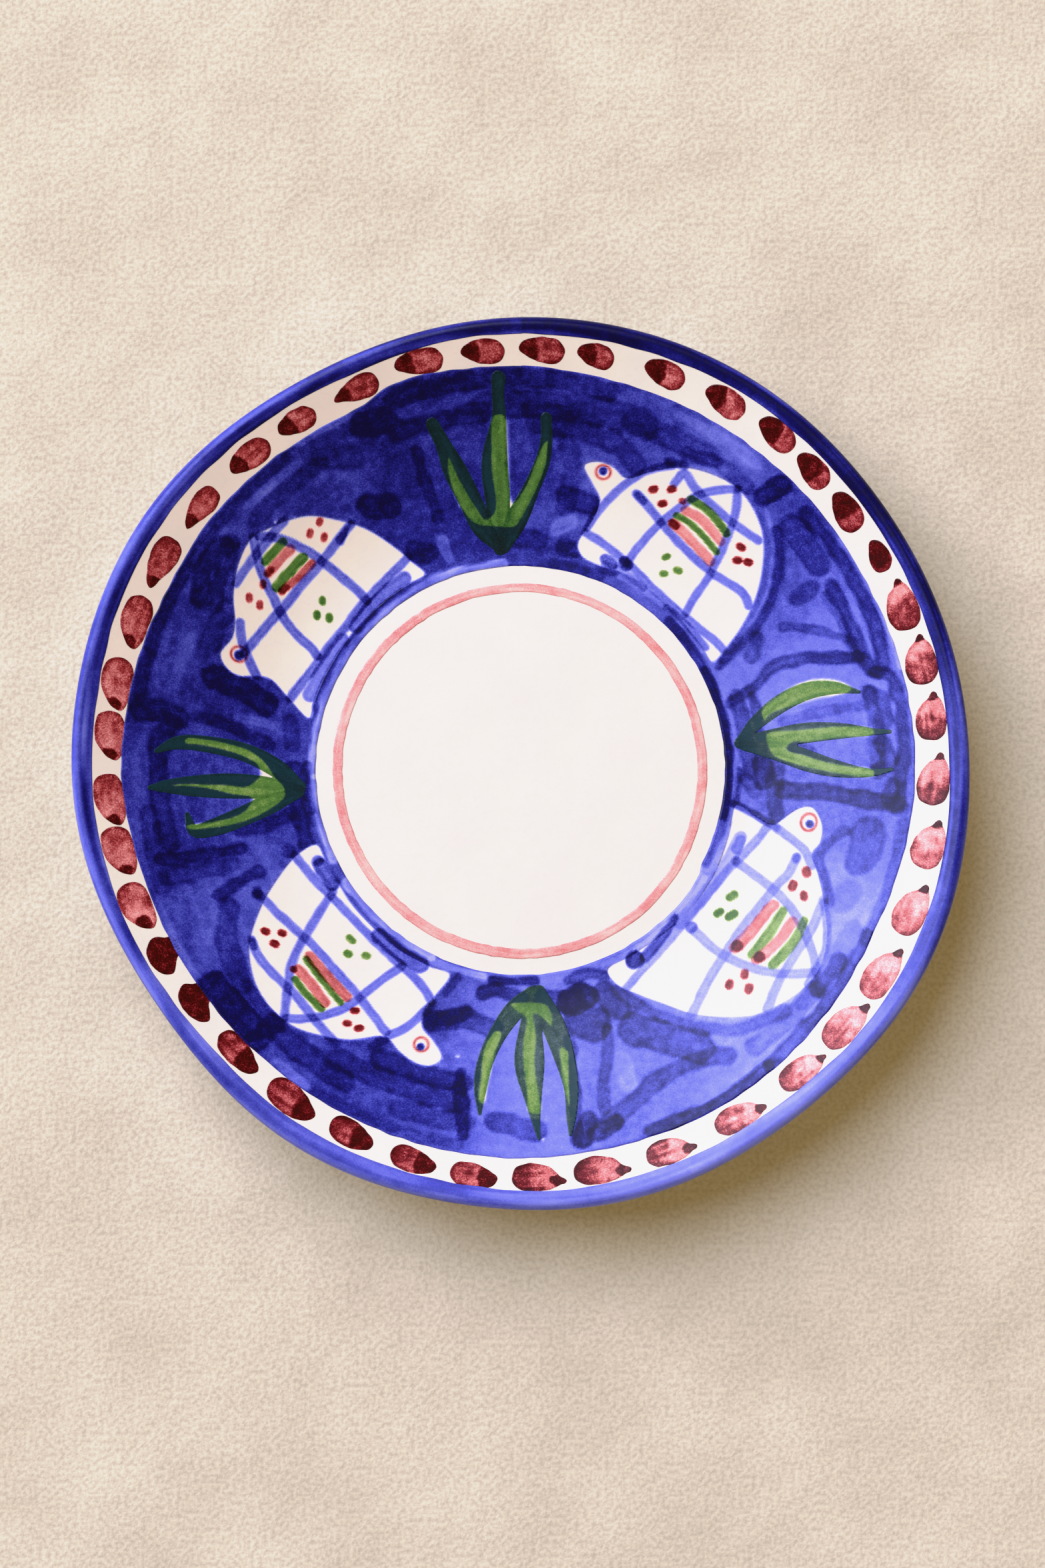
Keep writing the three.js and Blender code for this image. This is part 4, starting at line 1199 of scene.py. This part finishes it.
def glaze_material(name, paints=(), grain=0.2):
    """Tin glaze with paints under its gloss. Paint is granular."""
    nodes = Nodes(name)
    fine = nodes.noise(0.42, 3)
    medium = nodes.noise(2.6, 3)
    clouds = nodes.noise(14, 2)
    granular = nodes.maths("MULTIPLY_ADD", fine, 0.6, nodes.maths("MULTIPLY", medium, 0.4))
    spread = nodes.map_range(granular, 0.36, 0.64, 1 - grain, 1 + grain)
    density = {}
    for paint in paints:
        density[paint] = nodes.maths("MULTIPLY", nodes.attribute(paint), spread)
    if "blue" in paints:
        colour = nodes.ramp(density["blue"], BLUE_STOPS, MOST_PAINT)
    else:
        colour = linear(GLAZE_WHITE)
    if "green" in paints:
        colour = nodes.blend(colour, nodes.ramp(density["green"], GREEN_STOPS, MOST_GREEN))
        body = nodes.ramp(density["green"], GREEN_BODY_STOPS, MOST_GREEN)
        colour = nodes.blend(colour, body, "LIGHTEN")
    if "red" in paints:
        colour = nodes.blend(colour, nodes.ramp(density["red"], RED_STOPS, MOST_PAINT))
    tint = nodes.ramp(clouds, [(0.3, (255, 252, 247)), (0.7, (249, 247, 245))], 1)
    colour = nodes.blend(colour, tint)
    roughness = nodes.map_range(medium, 0.3, 0.7, 0.24, 0.36)
    peel = nodes.bump(nodes.noise(1.8, 2), 0.018)
    normal = nodes.bump(clouds, 0.12, peel)
    return nodes.finish(colour, roughness, normal)


def clay_material():
    """Bare fired earthenware: warm and matt, with grog and pores."""
    nodes = Nodes("bare_clay")
    grains = nodes.noise(0.7, 4)
    clouds = nodes.noise(9, 3)
    colour = nodes.ramp(grains, [
        (0.3, (132, 82, 56)), (0.42, (178, 122, 88)), (0.6, (196, 140, 104)),
        (0.75, (218, 172, 138)),
    ], 1)
    tint = nodes.ramp(clouds, [(0.3, (255, 246, 238)), (0.7, (232, 220, 212))], 1)
    colour = nodes.blend(colour, tint)
    roughness = nodes.map_range(grains, 0.3, 0.7, 0.78, 0.95)
    normal = nodes.bump(clouds, 0.25, nodes.bump(grains, 0.12))
    return nodes.finish(colour, roughness, normal)


BACKDROP_LIGHT = (0.74, 0.83, 1, 1)


def floor_material():
    """Pale trowelled plaster. Its glow attribute is 0 round the plate and lights the backdrop."""
    nodes = Nodes("pale_floor")
    trowelled = nodes.noise(38, 4)
    grit = nodes.noise(1.3, 2)
    colour = nodes.ramp(trowelled, [(0.3, (208, 202, 185)), (0.7, (218, 213, 198))], 1)
    tint = nodes.ramp(grit, [(0.3, (236, 233, 230)), (0.6, (255, 255, 255))], 1)
    colour = nodes.blend(colour, tint)
    normal = nodes.bump(trowelled, 2.2, nodes.bump(grit, 0.25))
    nodes.shader.inputs["Emission Color"].default_value = BACKDROP_LIGHT
    nodes.join(nodes.attribute("glow"), nodes.shader.inputs["Emission Strength"])
    return nodes.finish(colour, 0.85, normal, specular=0.2)


# ---- pieces ----

def place_piece(piece, material, slot, *nodes):
    """Gives a piece its material, hangs it on the root body, and hides the CAD nodes it stands for.
    """
    piece.data.materials.append(material)
    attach(piece, "root")
    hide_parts(*nodes)


def inset(place, coordinate, distance):
    """A line of a solid: a place on the plate, moved in under the surface by a distance."""
    def line(angle):
        radius, height, out_r, out_z = place(coordinate, angle)
        return radius - distance * out_r, height - distance * out_z
    return line


def steady(radius, height, wave=0.0):
    """A line turned true, with a small waver."""
    def line(angle):
        waver = wave * np.sin(np.radians(3 * angle)) + wave * np.sin(np.radians(7 * angle + 40))
        return radius + waver, height + 0 * angle
    return line


def on_axis(height):
    """A line of a solid that is one point on the axis."""
    return lambda angle: (0, height)


def skin_lines(distance, front_step, lip_step, back_step):
    """Lines from the middle of the well over the lip to where the outer glaze stops."""
    front = np.arange(front_step, LIP_START - front_step / 2, front_step)
    lip = np.arange(0, 181, lip_step)
    back = np.arange(LIP_START - 0.4, GLAZE_STOP + back_step / 2, -back_step)

    def wavering_front(nominal, angle):
        return front_place(nominal + wobble_share(nominal) * rim_wobble(angle), angle)

    _, middle, _, _ = front_place(np.zeros(1), np.zeros(1))
    return [
        on_axis(float(middle[0]) - distance),
        *(inset(wavering_front, nominal, distance) for nominal in front),
        *(inset(lip_place, turned, distance) for turned in lip),
        *(inset(back_place, nominal, distance) for nominal in [*back, GLAZE_STOP]),
    ]


def add_glaze():
    """The white glaze, from the middle of the well over the lip to its edge above the foot."""
    outside = skin_lines(0, 2.1, 9, 2)
    inside = skin_lines(GLAZE_THICKNESS, 12, 30, 12)
    piece = solid_of_rings("glaze", outside + inside[::-1], 600)
    place_piece(piece, glaze_material("white_glaze"), "glaze", "glaze_coat")


# The foot ring's section, from the wall round the foot to the recess inside it. Each point is
# (radius, height, size of its waver).
FOOT_PROFILE = [
    (FOOT_OUTER + FOOT_SPLAY + 0.9, FOOT_HEIGHT - 0.1, 0.1),
    (FOOT_OUTER + FOOT_SPLAY + 0.25, FOOT_HEIGHT - 0.6, 0.1),
    (FOOT_OUTER + FOOT_SPLAY - 0.2, FOOT_HEIGHT - 1.5, 0.06),
    (FOOT_OUTER + 0.1, 1.2, 0),
    (FOOT_OUTER - 0.15, 0.55, 0),
    (FOOT_OUTER - 0.45, 0.15, 0),
    (FOOT_OUTER - 0.9, 0, 0),
    ((FOOT_OUTER + FOOT_INNER) / 2, 0, 0),
    (FOOT_INNER + 0.9, 0, 0),
    (FOOT_INNER + 0.45, 0.15, 0),
    (FOOT_INNER + 0.15, 0.55, 0),
    (FOOT_INNER - 0.1, 1.2, 0),
    (FOOT_INNER - FOOT_SPLAY + 0.3, FOOT_HEIGHT - 1, 0),
    (FOOT_INNER - FOOT_SPLAY - 0.2, FOOT_HEIGHT - 0.3, 0),
    (FOOT_INNER - FOOT_SPLAY - 0.9, FOOT_HEIGHT, 0),
]


def add_clay():
    """The thrown body, just inside the glaze, with its bare foot ring and ridged recess."""
    inside = skin_lines(GLAZE_THICKNESS + 0.02, 6, 20, 5)
    foot = [steady(*point) for point in FOOT_PROFILE]
    ridges = [(radius, FOOT_HEIGHT + 0.05 * math.sin(radius)) for radius in range(57, 2, -2)]
    recess = [steady(radius, height) for radius, height in ridges]
    piece = solid_of_rings("clay", [*inside, *foot, *recess, on_axis(FOOT_HEIGHT)], 360)
    place_piece(piece, clay_material(), "clay", "clay_body")


def add_base_glaze():
    """The glaze in the foot's recess, from its sunk edge to the middle."""
    top = FOOT_HEIGHT + 0.2
    bottom = FOOT_HEIGHT - GLAZE_THICKNESS
    profile = [
        (BASE_GLAZE_RADIUS - 0.4, top),
        (BASE_GLAZE_RADIUS, FOOT_HEIGHT - 0.1),
        (BASE_GLAZE_RADIUS - 0.25, FOOT_HEIGHT - 0.32),
        (BASE_GLAZE_RADIUS - 0.9, bottom),
        *((radius, bottom + 0.06 * math.sin(radius * 1.3)) for radius in range(52, 2, -3)),
    ]

    def wandering(radius, height):
        """A line that wanders as the glaze's edge does, less and less towards the middle."""
        def line(angle):
            edge = 0.5 * np.sin(np.radians(5 * angle)) + 0.35 * np.sin(np.radians(11 * angle + 60))
            return radius + edge * (radius / BASE_GLAZE_RADIUS) ** 4, height + 0 * angle
        return line

    lines = [on_axis(top), *(wandering(*point) for point in profile), on_axis(bottom)]
    piece = solid_of_rings("base_glaze_skin", lines, 360)
    place_piece(piece, glaze_material("foot_glaze"), "glaze", "base_glaze")


def round_grid(columns, rows):
    """Angles all the way round the plate, and shares from 0 to 1 across, as a grid."""
    return np.meshgrid(np.arange(columns) * 360 / columns, np.linspace(0, 1, rows))


def ragged_edge(edge, angle, size, length, seed):
    """Radius of a painted edge, given as a table, with a ragged brush's small bumps."""
    return round_plate(edge, angle) + size * (value_noise(angle, 0 * angle, length, seed) - 0.5)


def add_well_ring():
    """The thin pink line, streaked along its length and fuller at its edges."""
    angle, share = round_grid(900, 9)
    inner = ragged_edge(RING_INNER_EDGE, angle, 0.25, 2.2, seed=31)
    outer = ragged_edge(RING_OUTER_EDGE, angle, 0.25, 2.2, seed=31)
    radius = inner + (outer - inner) * share
    piece, angles, radii = film(
        "pink_ring", front_place, angle, radius, RING_RISE, FILM_DEPTH, wraps=True)
    inner, outer = round_plate(RING_INNER_EDGE, angles), round_plate(RING_OUTER_EDGE, angles)
    place = (radii - inner) / (outer - inner)
    streaks = value_noise(angles * 0.16, place * 6, 1, 33) - 0.5
    clouds = value_noise(angles * 0.5, place, 4, 34) - 0.5
    edges = np.abs(place - 0.5) ** 3
    set_paint(piece, red=np.clip(0.27 + 0.22 * streaks + 0.18 * clouds + 0.5 * edges, 0.08, 2))
    place_piece(piece, glaze_material("pink_line", ["red"], 0.5), "ring_pink", "well_ring")


def add_rim_band():
    """The band from its hand painted inner edge, over the lip and a little way under it."""
    angle, share = round_grid(900, 33)
    run = lip_edge(angle) - ragged_edge(BAND_INNER_EDGE, angle, 0.35, 3, seed=41)
    arc = math.radians(BAND_TURN) * LIP_RADIUS
    # The coordinate is the run along the profile from the lip's start: below 0 on the front.
    coordinate = -run + (run + arc) * share

    def place(along, turn):
        front = front_place(lip_edge(turn) + np.minimum(along, 0), turn)
        over = lip_place(np.degrees(np.maximum(along, 0) / LIP_RADIUS), turn)
        return tuple(np.where(along < 0, a, b) for a, b in zip(front, over))

    piece, angles, along = film(
        "blue_rim", place, angle, coordinate, BAND_RISE, FILM_DEPTH, wraps=True)
    # The band's coat carries a painted sheen at the lower right, as well as its own unevenness.
    base = round_plate(BAND_COAT_AND_SHEEN, angles)
    streaks = value_noise(angles * 0.07, along, 0.8, 43)
    streaks = streaks + value_noise(angles * 0.25, along, 1.7, 44) - 1
    clouds = value_noise(angles * 0.35, along * 0.3, 2, 45) - 0.5
    blue = base * (1 + 0.5 * streaks + 0.35 * clouds)
    # Painted highlight: the blue is made lighter over the lip at the left, where the light falls on
    # the lip's outer side. The band's ends overlap at the right.
    painted_sheen_side = smooth_step(225, 255, angles) * smooth_step(350, 325, angles)
    blue = blue * (1 - 0.35 * painted_sheen_side * smooth_step(0.2, 2, along))
    overlap = np.exp(-(((along - 1.2) / 0.35) ** 2)) * smooth_step(80, 70, angles)
    set_paint(piece, blue=np.clip(blue + overlap, 0.5, FULL_BLUE))
    place_piece(piece, glaze_material("blue_rim_paint", ["blue"], 0.16), "rim_blue", "rim_band")


def add_wash():
    """The blue brushed wash on the wall, with the tortoise panels left out of it."""
    angle, share = round_grid(840, 81)
    inner = ragged_edge(WASH_INNER_EDGE, angle, 0.3, 2.7, seed=51)
    outer = ragged_edge(WASH_OUTER_EDGE, angle, 0.4, 1.9, seed=52)
    radius = inner + (outer - inner) * share
    x, y = plan(angle, radius)
    distance = -outline_distance(x, y, PANEL_OUTLINES.values())
    piece, angles, radii = film(
        "blue_wash", front_place, angle, radius, WASH_RISE, FILM_DEPTH, distance, wraps=True)
    set_paint(piece, blue=blue_paint(angles, radii))
    place_piece(piece, glaze_material("blue_wash_paint", ["blue"], 0.26), "wash_blue", "wash_field")


def patch_grid(outline, margin):
    """A grid of (angle, radius) that covers an outline of plan points."""
    radii = np.hypot(outline[:, 0], outline[:, 1])
    middle = outline.mean(0)
    heading = math.degrees(math.atan2(middle[0], middle[1]))
    angles = np.degrees(np.arctan2(outline[:, 0], outline[:, 1]))
    angles = (angles - heading + 180) % 360 - 180 + heading
    spread = math.degrees(margin / radii.min())
    degree_step = math.degrees(PATCH_STEP / radii.mean())
    across = np.arange(angles.min() - spread, angles.max() + spread + degree_step, degree_step)
    up = np.arange(radii.min() - margin, radii.max() + margin + PATCH_STEP, PATCH_STEP)
    return np.meshgrid(across, up)


def add_tortoises():
    """The four panels: white glaze with blue line work, and coloured stripes, dots and eyes."""
    material = glaze_material("tortoise_paint", ["blue", "green", "red"], 0.3)
    for place, part in TORTOISES.items():
        outline = PANEL_OUTLINES[place]
        angle, radius = patch_grid(outline, PANEL_TUCK + 0.5)
        x, y = plan(angle, radius)
        distance = polygon_distance(x, y, outline) - PANEL_TUCK
        piece, angles, radii = film(
            f"tortoise_on_{place}", front_place, angle, radius, PANEL_RISE, FILM_DEPTH, distance)
        x, y = plan(angles, radii)
        eye_angle, eye_radius, half_wide, half_tall = part["eye"]
        away = np.hypot(
            ((angles - eye_angle + 180) % 360 - 180) / half_wide, (radii - eye_radius) / half_tall)
        eye = 0.95 * np.exp(-(((away - 1) * half_tall / 0.32) ** 2))
        eye = eye * (0.75 + 0.5 * value_noise(x, y, 1.1, 71))
        red = brushed(x, y, part["red"], 0.2, 0.5, seed=700) + eye
        set_paint(
            piece,
            blue=blue_paint(angles, radii),
            green=brushed(x, y, part["green"], 0.2, 0.6, seed=720),
            red=red,
        )
        place_piece(piece, material, "tortoise_paint", f"tortoise_{place}")


def add_grass():
    """The four tufts. Their green lies over the wash, so they carry its blue as well."""
    material = glaze_material("grass_paint", ["blue", "green"], 0.3)
    for place, part in TUFTS.items():
        paths = [polar_path(blade) for blade in part["blades"]]
        angle, radius = patch_grid(np.vstack(paths)[:, :2], 4.5)
        x, y = plan(angle, radius)
        distance = np.minimum.reduce([path_distance(x, y, path)[0] for path in paths])
        piece, angles, radii = film(
            f"grass_on_{place}", front_place, angle, radius, GRASS_RISE, 0, distance)
        set_paint(
            piece, blue=blue_paint(angles, radii), green=green_paint(angles, radii, place))
        place_piece(piece, material, "grass_green", f"grass_{place}")


def add_dabs():
    """The border's dabs: rose on the right of the plate, and maroon elsewhere."""
    maroon = glaze_material("maroon_dab_paint", ["red"], 0.55)
    rose = glaze_material("rose_dab_paint", ["red"], 0.6)
    for number, dab in enumerate(DABS, 1):
        outline = dab_outline(*dab)
        angle, radius = patch_grid(outline, 1)
        x, y = plan(angle, radius)
        ragged = 0.3 * (value_noise(x, y, 1.9, 80 + number) - 0.5)
        distance = polygon_distance(x, y, outline) + ragged
        piece, angles, radii = film(
            f"brush_dab_{number:02d}", front_place, angle, radius, DAB_RISE, FILM_DEPTH, distance)
        middle = (dab[0] + dab[1]) / 2
        angles = (angles - middle + 180) % 360 - 180 + middle
        set_paint(piece, red=dab_paint(angles, radii, number))
        is_rose = ROSE_FROM < dab[0] < ROSE_TO
        place_piece(
            piece, rose if is_rose else maroon, "dab_rose" if is_rose else "dab_maroon",
            f"dab_{number:02d}")


add_clay()
add_glaze()
add_base_glaze()
add_well_ring()
add_rim_band()
add_wash()
add_tortoises()
add_grass()
add_dabs()


# ---- floor, light and camera ----

# The floor is flat round the plate and sweeps up far away. Each ring is (radius, height) in
# metres, as are the glow's distances.
FLOOR_RINGS = [
    (0.15, 0), (0.4, 0), (0.8, 0), (1.5, 0), (2.5, 0), (4, 0), (5, 0.02), (5.6, 0.12), (6, 0.35),
    (6.2, 0.8), (6.3, 1.4),
]
FLOOR_COLUMNS = 72
BACKDROP_GLOW = 0.36
GLOW_FROM = 1.5
GLOW_FULL = 5.5

# One large soft light from the upper left, cool, against a low warm sky that fills the shadows.
# Distances and sizes are in metres.
KEY_HEADING = 313
KEY_ELEVATION = 48
KEY_DISTANCE = 6
KEY_SIZE = 6.4
KEY_POWER = 636
KEY_COLOUR = (0.714, 0.772, 1)
SKY_COLOUR = (1, 0.71, 0.28, 1)
SKY_STRENGTH = 0.46

CAMERA_ELEVATION = 85
CAMERA_DISTANCE = 1.3
CAMERA_LENS = 100.4
CAMERA_SENSOR = 36
AIM_OFFSET = Vector((0.0006, -0.0075, 0))   # from the middle of the plate's top

# Brightness in the scene and the brightness shown, up to where the tone curve ends.
TONES = [(0.02, 0.011), (0.1, 0.083), (0.3, 0.265), (0.6, 0.555), (0.85, 0.85), (1.08, 0.935)]
TONE_END = (1.5, 1)


def add_floor():
    """A wide floor that sweeps up far away into a softly lit backdrop, on every side."""
    turn = np.linspace(0, 2 * math.pi, FLOOR_COLUMNS, endpoint=False)
    points = [(0, 0, 0)]
    for radius, height in FLOOR_RINGS:
        points += [(radius * math.sin(t), radius * math.cos(t), height) for t in turn]
    faces = []
    for step in range(FLOOR_COLUMNS):
        following = (step + 1) % FLOOR_COLUMNS
        faces.append([0, 1 + following, 1 + step])
        for ring in range(len(FLOOR_RINGS) - 1):
            inner = 1 + ring * FLOOR_COLUMNS
            outer = inner + FLOOR_COLUMNS
            faces.append([inner + step, inner + following, outer + following, outer + step])
    points = np.array(points)
    floor = make_object("floor", points, faces, [True] * len(faces))
    away = np.hypot(points[:, 0], points[:, 1])
    set_paint(floor, glow=BACKDROP_GLOW * smooth_step(GLOW_FROM, GLOW_FULL, away))
    floor.data.materials.append(floor_material())


def add_key_light():
    data = bpy.data.lights.new("key", "AREA")
    data.shape = "DISK"
    data.size = KEY_SIZE
    data.energy = KEY_POWER
    data.color = KEY_COLOUR
    lamp = bpy.data.objects.new("key", data)
    bpy.context.scene.collection.objects.link(lamp)
    rise = math.radians(KEY_ELEVATION)
    x, y = plan(KEY_HEADING, math.cos(rise))
    place = Vector((float(x), float(y), math.sin(rise))).normalized() * KEY_DISTANCE
    lamp.location = place
    lamp.rotation_euler = (-place).to_track_quat("-Z", "Y").to_euler()


def add_sky():
    world = bpy.data.worlds.new("studio")
    world.use_nodes = True
    background = world.node_tree.nodes["Background"]
    background.inputs["Color"].default_value = SKY_COLOUR
    background.inputs["Strength"].default_value = SKY_STRENGTH
    bpy.context.scene.world = world


def add_camera():
    """A camera almost straight above the plate, looking at the middle of its top."""
    low, high = CAD_BOX
    aim = Vector(((low.x + high.x) / 2, (low.y + high.y) / 2, high.z)) + AIM_OFFSET
    data = bpy.data.cameras.new("camera")
    data.sensor_fit = "VERTICAL"
    data.sensor_height = CAMERA_SENSOR
    data.lens = CAMERA_LENS
    camera = bpy.data.objects.new("camera", data)
    bpy.context.scene.collection.objects.link(camera)
    rise = math.radians(CAMERA_ELEVATION)
    back = Vector((0, -math.cos(rise), math.sin(rise)))
    camera.location = aim + CAMERA_DISTANCE * back
    camera.rotation_euler = back.to_track_quat("Z", "Y").to_euler()
    bpy.context.scene.camera = camera


def set_tone():
    """A soft shoulder, so that white glaze facing the light keeps its tone."""
    view = bpy.context.scene.view_settings
    view.view_transform = "Standard"
    view.use_curve_mapping = True
    mapping = view.curve_mapping
    mapping.use_clip = False
    curve = mapping.curves[3]
    curve.points[0].location = (0, 0)
    curve.points[1].location = TONE_END
    for bright, shown in TONES:
        curve.points.new(bright, shown)
    mapping.update()


add_floor()
add_key_light()
add_sky()
add_camera()
set_tone()
